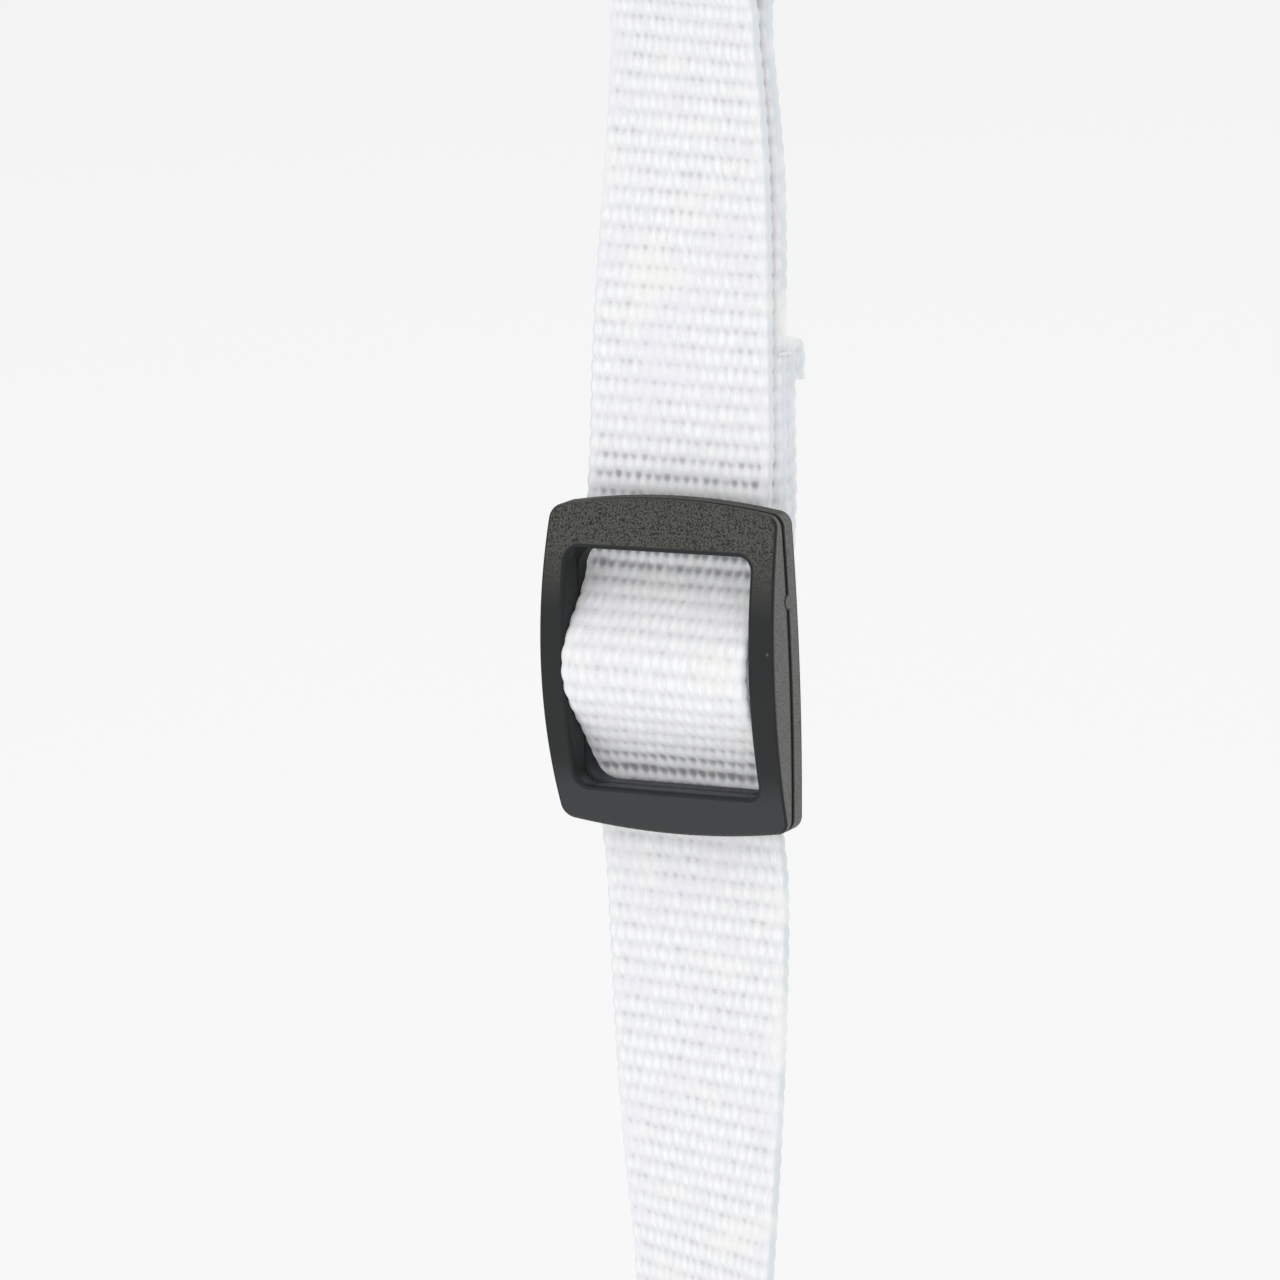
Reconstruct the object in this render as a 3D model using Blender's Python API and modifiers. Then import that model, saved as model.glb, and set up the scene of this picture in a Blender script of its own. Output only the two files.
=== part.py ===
"""Buckle slider on its webbing: a two-part moulded frame with a trapped centre bar.

Metres, +Z up.  The slider faces -Y.  The origin lies on the underside of the top ring's
upper crossbar, where the anchor that carries the strap bears.  Lengths below are written
relative to the slider's own centre (the middle of its seam) and moved there at the end.
"""

import math

import bmesh
import bpy
from mathutils import Matrix, Vector

MM = 0.001

# ---- webbing -------------------------------------------------------------------------
STRAP_WIDTH = 19.7 * MM
STRAP_THICK = 1.3 * MM
FIT_GAP = 0.3 * MM
LAYER_PITCH = STRAP_THICK + 0.4 * MM

# ---- slider frame --------------------------------------------------------------------
FRAME_WIDTH = 24.8 * MM
FRAME_HEIGHT = 32.1 * MM
SIDE_BOW = 0.3 * MM
END_BOW = 1.15 * MM
CORNER_RADIUS = 2.0 * MM
WINDOW_WIDTH = 20.4 * MM
WINDOW_HEIGHT = 22.9 * MM
WINDOW_CENTRE_Z = -0.2 * MM
WINDOW_CORNER = 1.4 * MM
SEAM_HALF_GAP = 0.15 * MM
FRONT_CROWN_DEPTH = 3.5 * MM
FRONT_END_DEPTH = 0.5 * MM
REAR_DEPTH = 2.1 * MM
EDGE_ROUND = 0.2 * MM

# ---- centre bar and locating pegs ------------------------------------------------------
BAR_RADIUS = 1.2 * MM
BAR_Y = 0.2 * MM
BAR_HALF_LENGTH = 11.3 * MM
PEG_RADIUS = 0.7 * MM
PEG_REACH = 1.2 * MM
PEG_X = 8.5 * MM
PEG_Z = 13.45 * MM

# ---- route of the webbing, in the slider's own plane -----------------------------------
RUN_Y = 3.25 * MM
ARCH_FRONT_Y = -3.55 * MM
ARCH_UPPER_REACH = 11.0 * MM
ARCH_LOWER_REACH = 12.6 * MM
SLIDER_STRAP_REACH = 17.0 * MM
LOOP_RADIUS = BAR_RADIUS + FIT_GAP + STRAP_THICK / 2
LOOP_ENTER_DEG = 135.0
LOOP_LEAVE_DEG = 315.0
LOOP_TOP_Z = 11.5 * MM
SEWN_TOP_Z = 31.0 * MM
TAIL_TOP_Z = 30.0 * MM
TAIL_FOLD = 3.4 * MM

# ---- how the free strap turns and leans away from the slider ---------------------------
TWIST_START_Z = 17.0 * MM
TWIST_END_Z = 58.0 * MM
TOP_TWIST_DEG = -18.0
BOTTOM_TWIST_DEG = -20.0
TOP_LEAN = (0.9 * MM, 2.4 * MM)
BOTTOM_LEAN = (0.5 * MM, -2.2 * MM)
TWIST_POWER = 1.6

# ---- end rings -----------------------------------------------------------------------
RING_INNER_WIDTH = 22.0 * MM
RING_SLOT = 8.0 * MM
RING_BAR = 2.8 * MM
RING_CORNER = 2.6 * MM
RING_EDGE = 0.7 * MM
RING_TURN_RADIUS = 2.7 * MM
TOP_RING_Z = 67.0 * MM
BOTTOM_RING_Z = -81.0 * MM
BOTTOM_TAIL_TOP_Z = -62.5 * MM
BOTTOM_TAIL_PITCH = LAYER_PITCH

# ---- stitches --------------------------------------------------------------------------
THREAD_RADIUS = 0.22 * MM
STITCH_DIP = 0.1 * MM
STITCH_PITCH = 2.0 * MM
STITCH_COUNT = 9

STRAP_MID_Y = RUN_Y + LAYER_PITCH / 2


# ---- small tools -----------------------------------------------------------------------
def smooth_share(value):
    """Smooth 0-to-1 step of a value already between 0 and 1."""
    return value * value * (3 - 2 * value)


def strap_place(z):
    """Twist (radians), x and y of the strap's middle at a height above the slider."""
    reach = (abs(z) - TWIST_START_Z) / (TWIST_END_Z - TWIST_START_Z)
    share = min(max(reach, 0.0), 1.0)
    end_deg = TOP_TWIST_DEG if z > 0 else BOTTOM_TWIST_DEG
    lean_x, lean_y = TOP_LEAN if z > 0 else BOTTOM_LEAN
    twist = math.radians(end_deg) * share**TWIST_POWER
    lean = smooth_share(share)
    return twist, lean_x * lean, lean_y * lean


TOP_X = strap_place(TWIST_END_Z)[1]
TOP_Y = STRAP_MID_Y + strap_place(TWIST_END_Z)[2]
BOTTOM_X = strap_place(-TWIST_END_Z)[1]
BOTTOM_Y = STRAP_MID_Y + strap_place(-TWIST_END_Z)[2]
SEAT_Z = TOP_RING_Z + RING_BAR / 2 + RING_SLOT
SLIDER_CENTRE = Vector((-TOP_X, -TOP_Y, -SEAT_Z))


def collection(name):
    """Make a collection and link it to the scene."""
    made = bpy.data.collections.new(name)
    bpy.context.scene.collection.children.link(made)
    return made


def material(name, colour, roughness, metallic=0.0):
    """A plain Principled material."""
    made = bpy.data.materials.new(name)
    made.use_nodes = True
    shader = made.node_tree.nodes["Principled BSDF"]
    shader.inputs["Base Color"].default_value = (*colour, 1.0)
    shader.inputs["Roughness"].default_value = roughness
    shader.inputs["Metallic"].default_value = metallic
    return made


def object_from_bmesh(name, shape, group, finish=None):
    """Turn a bmesh into an object with its normals outwards."""
    bmesh.ops.recalc_face_normals(shape, faces=shape.faces)
    mesh = bpy.data.meshes.new(name)
    shape.to_mesh(mesh)
    shape.free()
    made = bpy.data.objects.new(name, mesh)
    group.objects.link(made)
    if finish:
        mesh.materials.append(finish)
    return made


def extruded_outline(name, points, half_depth, group, finish=None):
    """A closed (u, v) outline as a filled curve in local XY, thick along local Z, as a mesh."""
    curve = bpy.data.curves.new(name + "_outline", "CURVE")
    curve.dimensions = "2D"
    curve.fill_mode = "BOTH"
    curve.extrude = half_depth
    line = curve.splines.new("POLY")
    line.points.add(len(points) - 1)
    for point, (u, v) in zip(line.points, points):
        point.co = (u, v, 0.0, 1.0)
    line.use_cyclic_u = True
    drawn = bpy.data.objects.new(name + "_outline", curve)
    group.objects.link(drawn)
    bpy.context.view_layer.update()
    graph = bpy.context.evaluated_depsgraph_get()
    mesh = bpy.data.meshes.new_from_object(drawn.evaluated_get(graph))
    bpy.data.objects.remove(drawn)
    shape = bmesh.new()
    shape.from_mesh(mesh)
    bpy.data.meshes.remove(mesh)
    bmesh.ops.remove_doubles(shape, verts=shape.verts, dist=0.01 * MM)
    return object_from_bmesh(name, shape, group, finish)


def in_xz(thing, y_middle=0.0):
    """Stand an XY outline up into the XZ plane, thick along Y."""
    thing.data.transform(Matrix.Translation((0, y_middle, 0)) @ Matrix.Rotation(math.pi / 2, 4, "X"))
    return thing


def in_yz(thing):
    """Stand an XY outline up so that its u runs along Y and its v along Z, thick along X."""
    thing.data.transform(Matrix(((0, 0, 1, 0), (1, 0, 0, 0), (0, 1, 0, 0), (0, 0, 0, 1))))
    return thing


def cylinder_along(axis, radius, length, centre, segments, name, group):
    """A capped cylinder along X or Y."""
    shape = bmesh.new()
    bmesh.ops.create_cone(
        shape, cap_ends=True, segments=segments, radius1=radius, radius2=radius, depth=length
    )
    turn = Matrix.Rotation(math.pi / 2, 4, "Y" if axis == "X" else "X")
    bmesh.ops.transform(shape, matrix=Matrix.Translation(centre) @ turn, verts=shape.verts)
    return object_from_bmesh(name, shape, group)


def boolean(target, tool, operation):
    """Add an exact Boolean with one tool object."""
    cut = target.modifiers.new(tool.name, "BOOLEAN")
    cut.operation = operation
    cut.solver = "EXACT"
    cut.object = tool
    tool.hide_render = True
    tool.display_type = "WIRE"


def bevel(target, width, segments=2, angle_deg=40.0):
    """Round the sharp edges."""
    rounding = target.modifiers.new("edges", "BEVEL")
    rounding.width = width
    rounding.segments = segments
    rounding.limit_method = "ANGLE"
    rounding.angle_limit = math.radians(angle_deg)


def thick_line(centre_line, thickness):
    """Outline of an open (u, v) line given a thickness: its left side, then its right side."""
    left, right = [], []
    count = len(centre_line)
    for index, point in enumerate(centre_line):
        before = centre_line[max(index - 1, 0)]
        after = centre_line[min(index + 1, count - 1)]
        along = Vector((after[0] - before[0], after[1] - before[1])).normalized()
        side = Vector((-along.y, along.x)) * thickness / 2
        left.append((point[0] + side.x, point[1] + side.y))
        right.append((point[0] - side.x, point[1] - side.y))
    return left + right[::-1]


def cubic(start, start_pull, end, end_pull, steps):
    """Points of a cubic from start to end with given end velocities, without its first point."""
    points = []
    for step in range(1, steps + 1):
        t = step / steps
        weights = (2 * t**3 - 3 * t**2 + 1, t**3 - 2 * t**2 + t, -2 * t**3 + 3 * t**2, t**3 - t**2)
        points.append(tuple(
            weights[0] * start[i] + weights[1] * start_pull[i] + weights[2] * end[i] + weights[3] * end_pull[i]
            for i in (0, 1)
        ))
    return points


def straight(start, end, steps):
    """Points of a straight stretch, without its first point."""
    return [
        tuple(start[i] + (end[i] - start[i]) * step / steps for i in (0, 1)) for step in range(1, steps + 1)
    ]


def arc(centre, radius, from_deg, to_deg, steps):
    """Points of an arc, both ends included."""
    angles = [math.radians(from_deg + (to_deg - from_deg) * s / steps) for s in range(steps + 1)]
    return [(centre[0] + radius * math.cos(a), centre[1] + radius * math.sin(a)) for a in angles]


# ---- the frame's two shells ------------------------------------------------------------
def bowed_outline(width, height, side_bow, end_bow, corner, side_steps=8, corner_steps=6):
    """Rounded rectangle whose sides and ends bulge by their bow: bowed core plus a round rim."""
    half_w = width / 2 - corner
    half_h = height / 2 - corner

    def rim(u, v, angle):
        return (u + corner * math.cos(angle), v + corner * math.sin(angle))

    quarter = []
    corner_u = half_w - side_bow
    corner_v = half_h - end_bow
    for step in range(side_steps):
        share = step / side_steps
        v = corner_v * share
        slope = 2 * side_bow * share / corner_v
        quarter.append(rim(half_w - side_bow * share**2, v, math.atan(slope)))
    first = math.atan(2 * side_bow / corner_v)
    last = math.pi / 2 - math.atan(2 * end_bow / corner_u)
    for step in range(corner_steps + 1):
        quarter.append(rim(corner_u, corner_v, first + (last - first) * step / corner_steps))
    for step in range(1, side_steps + 1):
        share = 1 - step / side_steps
        u = corner_u * share
        slope = 2 * end_bow * share / corner_u
        quarter.append(rim(u, half_h - end_bow * share**2, math.pi / 2 - math.atan(slope)))
    left = [(-u, v) for u, v in reversed(quarter[:-1])]
    upper = quarter + left
    lower = [(u, -v) for u, v in reversed(upper[1:-1])]
    return upper + lower


def frame_blank(name, near_y, far_y, group, finish):
    """The outline of the frame between two depths, with its window cut through."""
    outline = bowed_outline(FRAME_WIDTH, FRAME_HEIGHT, SIDE_BOW, END_BOW, CORNER_RADIUS)
    return in_xz(
        extruded_outline(name, outline, (far_y - near_y) / 2, group, finish), (near_y + far_y) / 2
    )


def window_cutter(name, group):
    """The rounded rectangle that cuts the window right through a shell."""
    outline = bowed_outline(WINDOW_WIDTH, WINDOW_HEIGHT, 0.0, 0.0, WINDOW_CORNER, side_steps=1)
    outline = [(u, v + WINDOW_CENTRE_Z) for u, v in outline]
    return in_xz(extruded_outline(name, outline, 10 * MM, group))


def bar_pocket(name, group):
    """The round channel that holds the centre bar's ends."""
    length = 2 * (BAR_HALF_LENGTH + FIT_GAP)
    return cylinder_along("X", BAR_RADIUS + FIT_GAP, length, (0, BAR_Y, 0), 32, name, group)


def front_shell(parts, cutters, finish):
    """Front half: arched across its height, with four locating pegs on its back."""
    shell = frame_blank("front_frame", -FRONT_CROWN_DEPTH - MM, -SEAM_HALF_GAP, parts, finish)
    boolean(shell, window_cutter("front_window_cutter", cutters), "DIFFERENCE")
    rise = FRONT_CROWN_DEPTH - FRONT_END_DEPTH
    crown_radius = ((FRAME_HEIGHT / 2) ** 2 + rise**2) / (2 * rise)
    crown = cylinder_along(
        "X", crown_radius, FRAME_WIDTH * 2, (0, crown_radius - FRONT_CROWN_DEPTH, 0), 256,
        "front_crown_cutter", cutters,
    )
    boolean(shell, crown, "INTERSECT")
    boolean(shell, bar_pocket("front_bar_pocket_cutter", cutters), "DIFFERENCE")
    bevel(shell, EDGE_ROUND)
    for side_x in (-1, 1):
        for side_z in (-1, 1):
            root = 0.6 * MM
            centre = (side_x * PEG_X, (PEG_REACH - SEAM_HALF_GAP - root) / 2, side_z * PEG_Z)
            peg = cylinder_along(
                "Y", PEG_RADIUS, PEG_REACH + SEAM_HALF_GAP + root, centre, 16,
                f"peg_{side_x}_{side_z}_tool", cutters,
            )
            boolean(shell, peg, "UNION")
    return shell


def rear_shell(parts, cutters, finish):
    """Rear half: a flat plate with four blind sockets for the pegs."""
    shell = frame_blank("rear_frame", SEAM_HALF_GAP, REAR_DEPTH, parts, finish)
    boolean(shell, window_cutter("rear_window_cutter", cutters), "DIFFERENCE")
    boolean(shell, bar_pocket("rear_bar_pocket_cutter", cutters), "DIFFERENCE")
    bevel(shell, EDGE_ROUND)
    for side_x in (-1, 1):
        for side_z in (-1, 1):
            socket = cylinder_along(
                "Y", PEG_RADIUS + FIT_GAP, 2 * (PEG_REACH + FIT_GAP), (side_x * PEG_X, 0, side_z * PEG_Z),
                16, f"socket_{side_x}_{side_z}_cutter", cutters,
            )
            boolean(shell, socket, "DIFFERENCE")
    return shell


def centre_bar(parts, finish):
    """Round bar that lies across the seam and turns in its pockets."""
    bar = cylinder_along("X", BAR_RADIUS, 2 * BAR_HALF_LENGTH, (0, 0, 0), 32, "centre_bar", parts)
    bar.data.materials.append(finish)
    bar.location = (0, BAR_Y, 0)
    bevel(bar, EDGE_ROUND)
    return bar


# ---- webbing ---------------------------------------------------------------------------
def led_by_strap(spot):
    """Where a point of the straight, untwisted strap goes once the strap turns and leans."""
    twist, lean_x, lean_y = strap_place(spot.z)
    flat = Matrix.Rotation(twist, 3, "Z") @ Vector((spot.x, spot.y - STRAP_MID_Y, 0))
    return Vector((flat.x + lean_x, flat.y + lean_y + STRAP_MID_Y, spot.z))


def lead_mesh(thing):
    """Turn and lean every vertex of a strap piece."""
    for vert in thing.data.vertices:
        vert.co = led_by_strap(vert.co)
    return thing


def arch_y(z):
    """Middle of the passing layer: a raised cosine over the bar, longer below than above."""
    reach = ARCH_UPPER_REACH if z > 0 else ARCH_LOWER_REACH
    if abs(z) >= reach:
        return RUN_Y
    return RUN_Y - (RUN_Y - ARCH_FRONT_Y) * 0.5 * (1 + math.cos(math.pi * z / reach))


def strap_over_bar(parts, finish):
    """The layer that passes behind the frame's ends and arches forward over the bar."""
    steps = 40
    heights = [SLIDER_STRAP_REACH * (1 - 2 * step / steps) for step in range(steps + 1)]
    line = [(arch_y(z), z) for z in heights]
    outline = thick_line(line, STRAP_THICK)
    return in_yz(extruded_outline("strap_over_bar", outline, STRAP_WIDTH / 2, parts, finish))


def strap_bar_loop(parts, finish):
    """The sewn end: down behind the passing layer, round the bar, up again and folded over."""
    front_y = RUN_Y + LAYER_PITCH
    tail_y = front_y + LAYER_PITCH
    pull = 9.0 * MM
    wrap = arc((BAR_Y, 0.0), LOOP_RADIUS, LOOP_ENTER_DEG, LOOP_LEAVE_DEG, 16)
    slant = math.sqrt(0.5) * pull
    line = [(front_y, SEWN_TOP_Z)]
    line += straight(line[0], (front_y, LOOP_TOP_Z), 8)
    line += cubic(line[-1], (0, -1.2 * pull), wrap[0], (-slant, -slant), 8)
    line += wrap[1:]
    line += cubic(wrap[-1], (slant, slant), (tail_y, LOOP_TOP_Z), (0, 1.2 * pull), 8)
    line += straight(line[-1], (tail_y, TAIL_TOP_Z), 8)
    line += arc((tail_y + LAYER_PITCH / 2, TAIL_TOP_Z), LAYER_PITCH / 2, 180, 0, 8)[1:]
    line += straight(line[-1], (tail_y + LAYER_PITCH, TAIL_TOP_Z - TAIL_FOLD), 2)
    outline = thick_line(line, STRAP_THICK)
    return lead_mesh(in_yz(extruded_outline("strap_bar_loop", outline, STRAP_WIDTH / 2, parts, finish)))


def free_run(name, layer_y, low_z, high_z, parts, finish):
    """A straight length of webbing, turned and leaned with its height as the strap is."""
    steps = 14
    shape = bmesh.new()
    bmesh.ops.create_cube(shape, size=1.0)
    bmesh.ops.scale(shape, vec=(STRAP_WIDTH, STRAP_THICK, high_z - low_z), verts=shape.verts)
    upright = [e for e in shape.edges if abs(e.verts[0].co.z - e.verts[1].co.z) > MM]
    bmesh.ops.subdivide_edges(shape, edges=upright, cuts=steps, use_grid_fill=True)
    bmesh.ops.translate(shape, vec=(0, layer_y, (low_z + high_z) / 2), verts=shape.verts)
    return lead_mesh(object_from_bmesh(name, shape, parts, finish))


def top_turn(parts, finish):
    """The strap's turn round the top ring's lower crossbar, drawn in the ring's own plane."""
    half = LAYER_PITCH / 2
    start_z = TWIST_END_Z + FIT_GAP
    pull = 5.0 * MM
    line = [(-half, start_z)]
    line += cubic(line[0], (0, pull), (-RING_TURN_RADIUS, TOP_RING_Z), (0, pull), 8)
    line += arc((0, TOP_RING_Z), RING_TURN_RADIUS, 180, 0, 16)[1:]
    line += cubic(line[-1], (0, -pull), (half, start_z), (0, -pull), 8)
    outline = thick_line(line, STRAP_THICK)
    turn = in_yz(extruded_outline("strap_top_turn", outline, STRAP_WIDTH / 2, parts, finish))
    twist = math.radians(TOP_TWIST_DEG)
    turn.data.transform(Matrix.Translation((TOP_X, TOP_Y, 0)) @ Matrix.Rotation(twist, 4, "Z"))
    return turn


def bottom_turn(parts, finish):
    """The strap's turn round the bottom ring's upper crossbar and its short sewn tail."""
    start_z = -TWIST_END_Z - FIT_GAP
    centre_y = BOTTOM_TAIL_PITCH / 2
    pull = 9.0 * MM
    straight_z = BOTTOM_RING_Z + 10 * MM
    line = [(0, start_z), (0, straight_z)]
    line += cubic(line[-1], (0, -pull), (centre_y - RING_TURN_RADIUS, BOTTOM_RING_Z), (0, -pull), 8)
    line += arc((centre_y, BOTTOM_RING_Z), RING_TURN_RADIUS, 180, 360, 16)[1:]
    line += cubic(line[-1], (0, pull), (BOTTOM_TAIL_PITCH, straight_z), (0, pull), 8)
    line += [(BOTTOM_TAIL_PITCH, BOTTOM_TAIL_TOP_Z)]
    outline = thick_line(line, STRAP_THICK)
    turn = in_yz(extruded_outline("strap_bottom_turn", outline, STRAP_WIDTH / 2, parts, finish))
    turn.data.transform(bottom_frame())
    return turn


def bottom_frame():
    """Place of the bottom end's own plane: leaned and twisted as the strap is there."""
    twist = Matrix.Rotation(math.radians(BOTTOM_TWIST_DEG), 4, "Z")
    return Matrix.Translation((BOTTOM_X, BOTTOM_Y, 0)) @ twist @ Matrix.Translation((0, -LAYER_PITCH / 2, 0))


# ---- stitches --------------------------------------------------------------------------
def stitches(name, rows, y, place, parts, finish):
    """One thread sewn back and forth along its rows, dipping towards the strap between stitches."""
    half_width = STITCH_PITCH * STITCH_COUNT / 2
    route = []
    for index, z in enumerate(rows):
        direction = 1 if index % 2 == 0 else -1
        for step in range(2 * STITCH_COUNT + 1):
            x = direction * (step * STITCH_PITCH / 2 - half_width)
            dip = STITCH_DIP if step % 2 == 0 else 0.0
            route.append(Vector((x, y - dip, z)))
    curve = bpy.data.curves.new(name + "_route", "CURVE")
    curve.dimensions = "3D"
    curve.bevel_depth = THREAD_RADIUS
    curve.bevel_resolution = 1
    curve.use_fill_caps = True
    line = curve.splines.new("POLY")
    line.points.add(len(route) - 1)
    for point, spot in zip(line.points, route):
        point.co = (*(place(spot)), 1.0)
    thread = bpy.data.objects.new(name, curve)
    parts.objects.link(thread)
    curve.materials.append(finish)
    return thread


# ---- rings -----------------------------------------------------------------------------
def end_ring(name, crossbar_z, open_side, place, parts, cutters, finish):
    """Rectangular ring: the strap's crossbar at crossbar_z and its slot above (+1) or below (-1)."""
    height = RING_SLOT + 2 * RING_BAR
    width = RING_INNER_WIDTH + 2 * RING_BAR
    middle = crossbar_z + open_side * (RING_SLOT + RING_BAR) / 2
    outer = bowed_outline(width, height, 0.0, 0.0, RING_CORNER, side_steps=1)
    inner = bowed_outline(RING_INNER_WIDTH, RING_SLOT, 0.0, 0.0, RING_EDGE, side_steps=1, corner_steps=3)
    ring = in_xz(extruded_outline(name, outer, RING_BAR / 2, parts, finish))
    slot = in_xz(extruded_outline(name + "_slot_cutter", inner, 2 * RING_BAR, cutters))
    boolean(ring, slot, "DIFFERENCE")
    bevel(ring, RING_EDGE, segments=3, angle_deg=60.0)
    for thing in (ring, slot):
        thing.data.transform(place @ Matrix.Translation((0, 0, middle)))
    return ring


# ---- assembly --------------------------------------------------------------------------
def main():
    for old in list(bpy.data.objects):
        bpy.data.objects.remove(old)
    parts = collection("buckle_slider")
    cutters = collection("cutters")

    frame_plastic = material("black_moulded_plastic", (0.052, 0.052, 0.048), 0.55)
    bar_metal = material("steel_bar", (0.42, 0.42, 0.43), 0.35, 1.0)
    webbing = material("white_webbing", (0.83, 0.83, 0.85), 0.7)
    thread = material("white_thread", (0.86, 0.86, 0.86), 0.6)
    ring_metal = material("ring_metal", (0.62, 0.62, 0.64), 0.3, 1.0)

    front_shell(parts, cutters, frame_plastic)
    rear_shell(parts, cutters, frame_plastic)
    centre_bar(parts, bar_metal)

    strap_over_bar(parts, webbing)
    strap_bar_loop(parts, webbing)
    run_start = SLIDER_STRAP_REACH + FIT_GAP
    free_run("strap_front_run", RUN_Y, run_start, TWIST_END_Z, parts, webbing)
    free_run("strap_back_run", RUN_Y + LAYER_PITCH, SEWN_TOP_Z + FIT_GAP, TWIST_END_Z, parts, webbing)
    free_run("strap_lower_run", RUN_Y, -TWIST_END_Z, -run_start, parts, webbing)
    top_turn(parts, webbing)
    bottom_turn(parts, webbing)

    thread_gap = STRAP_THICK / 2 + THREAD_RADIUS + STITCH_DIP + 0.1 * MM
    tail_back_y = RUN_Y + 3 * LAYER_PITCH + thread_gap
    tail_rows = [TAIL_TOP_Z - 0.8 * MM, TAIL_TOP_Z - 2.4 * MM]
    stitches("tail_stitches", tail_rows, tail_back_y, led_by_strap, parts, thread)
    bottom_rows = [BOTTOM_TAIL_TOP_Z - drop * MM for drop in (1.2, 3.0, 4.8)]
    bottom_y = BOTTOM_TAIL_PITCH + thread_gap
    stitches("bottom_stitches", bottom_rows, bottom_y, bottom_frame().__matmul__, parts, thread)

    top_place = Matrix.Translation((TOP_X, TOP_Y, 0)) @ Matrix.Rotation(math.radians(TOP_TWIST_DEG), 4, "Z")
    end_ring("top_ring", TOP_RING_Z, 1, top_place, parts, cutters, ring_metal)
    bottom_place = bottom_frame() @ Matrix.Translation((0, BOTTOM_TAIL_PITCH / 2, 0))
    end_ring("bottom_ring", BOTTOM_RING_Z, -1, bottom_place, parts, cutters, ring_metal)

    root = bpy.data.objects.new("slider_centre", None)
    parts.objects.link(root)
    root.location = SLIDER_CENTRE
    for thing in list(parts.objects) + list(cutters.objects):
        if thing is not root:
            thing.parent = root
        if thing.type == "MESH":
            thing.data.shade_smooth()
            thing.data.set_sharp_from_angle(angle=math.radians(35))


main()
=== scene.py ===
"""Looks of the buckle slider: moulded frame shells, ribbed webbing, thread, rings and a pale studio.

Sizes are millimetres measured from the slider's own centre (the middle of its seam, +Z up, the
slider facing -Y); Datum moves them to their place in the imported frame, in metres.
"""

import logging
import math
from collections.abc import Callable
from dataclasses import dataclass, field
from enum import Enum

import bpy
import numpy as np
from mathutils import Matrix, Vector


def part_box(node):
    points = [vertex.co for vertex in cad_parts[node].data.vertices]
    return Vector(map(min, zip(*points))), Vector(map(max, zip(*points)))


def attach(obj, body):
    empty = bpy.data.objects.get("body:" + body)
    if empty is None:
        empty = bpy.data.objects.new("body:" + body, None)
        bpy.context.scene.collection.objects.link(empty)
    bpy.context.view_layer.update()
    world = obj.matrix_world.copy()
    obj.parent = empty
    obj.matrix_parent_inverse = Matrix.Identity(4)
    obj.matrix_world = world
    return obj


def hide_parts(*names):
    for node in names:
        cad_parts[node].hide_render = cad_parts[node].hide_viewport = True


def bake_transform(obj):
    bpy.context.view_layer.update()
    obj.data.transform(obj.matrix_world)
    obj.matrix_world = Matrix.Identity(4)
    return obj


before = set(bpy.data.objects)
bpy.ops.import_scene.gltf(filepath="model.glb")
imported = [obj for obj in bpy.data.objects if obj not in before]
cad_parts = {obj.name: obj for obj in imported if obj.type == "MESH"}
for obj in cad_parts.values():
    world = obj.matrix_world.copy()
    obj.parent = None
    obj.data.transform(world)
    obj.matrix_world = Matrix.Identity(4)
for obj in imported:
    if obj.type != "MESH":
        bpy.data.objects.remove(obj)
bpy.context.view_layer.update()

LOG = logging.getLogger("buckle_slider")
MM = 0.001
TAU = 2 * math.pi
SHARP_FROM = math.radians(65)
Points = np.ndarray
Colour = tuple[float, float, float, float]


class Body(str, Enum):
    """The rigid bodies that pieces ride on."""

    ANCHOR = "anchor_ring"
    HEAD = "strap_head"
    SLIDER = "slider"
    LOWER_END = "lower_end"
    LOWER_RING = "lower_ring"


class Face(Enum):
    """Which way a strap's patterned face looks along its route."""

    LEFT_OF_ROUTE = 1
    RIGHT_OF_ROUTE = -1


# ---- shapes ----------------------------------------------------------------------------
def smoothstep(value: Points) -> Points:
    """Ease from 0 to 1: 3v^2 - 2v^3 of the value held between 0 and 1."""
    held = np.clip(value, 0.0, 1.0)
    return held * held * (3 - 2 * held)


def bell(value: Points, middle: float, reach: float) -> Points:
    """Bump of height 1 about a middle: exp(-((value - middle) / reach)^2)."""
    return np.exp(-(((value - middle) / reach) ** 2))


def scatter(row: Points, column: Points, salt: float) -> Points:
    """Repeatable 0-to-1 value for a cell: the fraction of a large multiple of a sine of its indices."""
    mixed = np.sin(row * 12.9898 + column * 78.233 + salt) * 43758.5453
    return mixed - np.floor(mixed)


def cubic(start: Points, start_pull: Points, end: Points, end_pull: Points, steps: int) -> Points:
    """Cubic from start to end that leaves and arrives with the given pulls, first point left out.

    Args:
        start: First (y, z) point.
        start_pull: Velocity at the start.
        end: Last (y, z) point.
        end_pull: Velocity at the end.
        steps: Number of points returned.

    Returns:
        Array (steps, 2): the Hermite blend of the two points and the two pulls.
    """
    t = np.linspace(0.0, 1.0, steps + 1)[1:, None]
    start, start_pull, end, end_pull = (np.asarray(v, float) for v in (start, start_pull, end, end_pull))
    return (
        (2 * t**3 - 3 * t**2 + 1) * start
        + (t**3 - 2 * t**2 + t) * start_pull
        + (3 * t**2 - 2 * t**3) * end
        + (t**3 - t**2) * end_pull
    )


def arc(centre: tuple[float, float], radius: float, first: float, last: float, steps: int) -> Points:
    """Points of an arc from one angle to another in degrees, both ends included."""
    angle = np.radians(np.linspace(first, last, steps + 1))
    return np.stack([centre[0] + radius * np.cos(angle), centre[1] + radius * np.sin(angle)], axis=1)


def straight(start: Points, end: Points, steps: int) -> Points:
    """Evenly spaced points from start to end, first point left out."""
    t = np.linspace(0.0, 1.0, steps + 1)[1:, None]
    return np.asarray(start, float) * (1 - t) + np.asarray(end, float) * t


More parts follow.
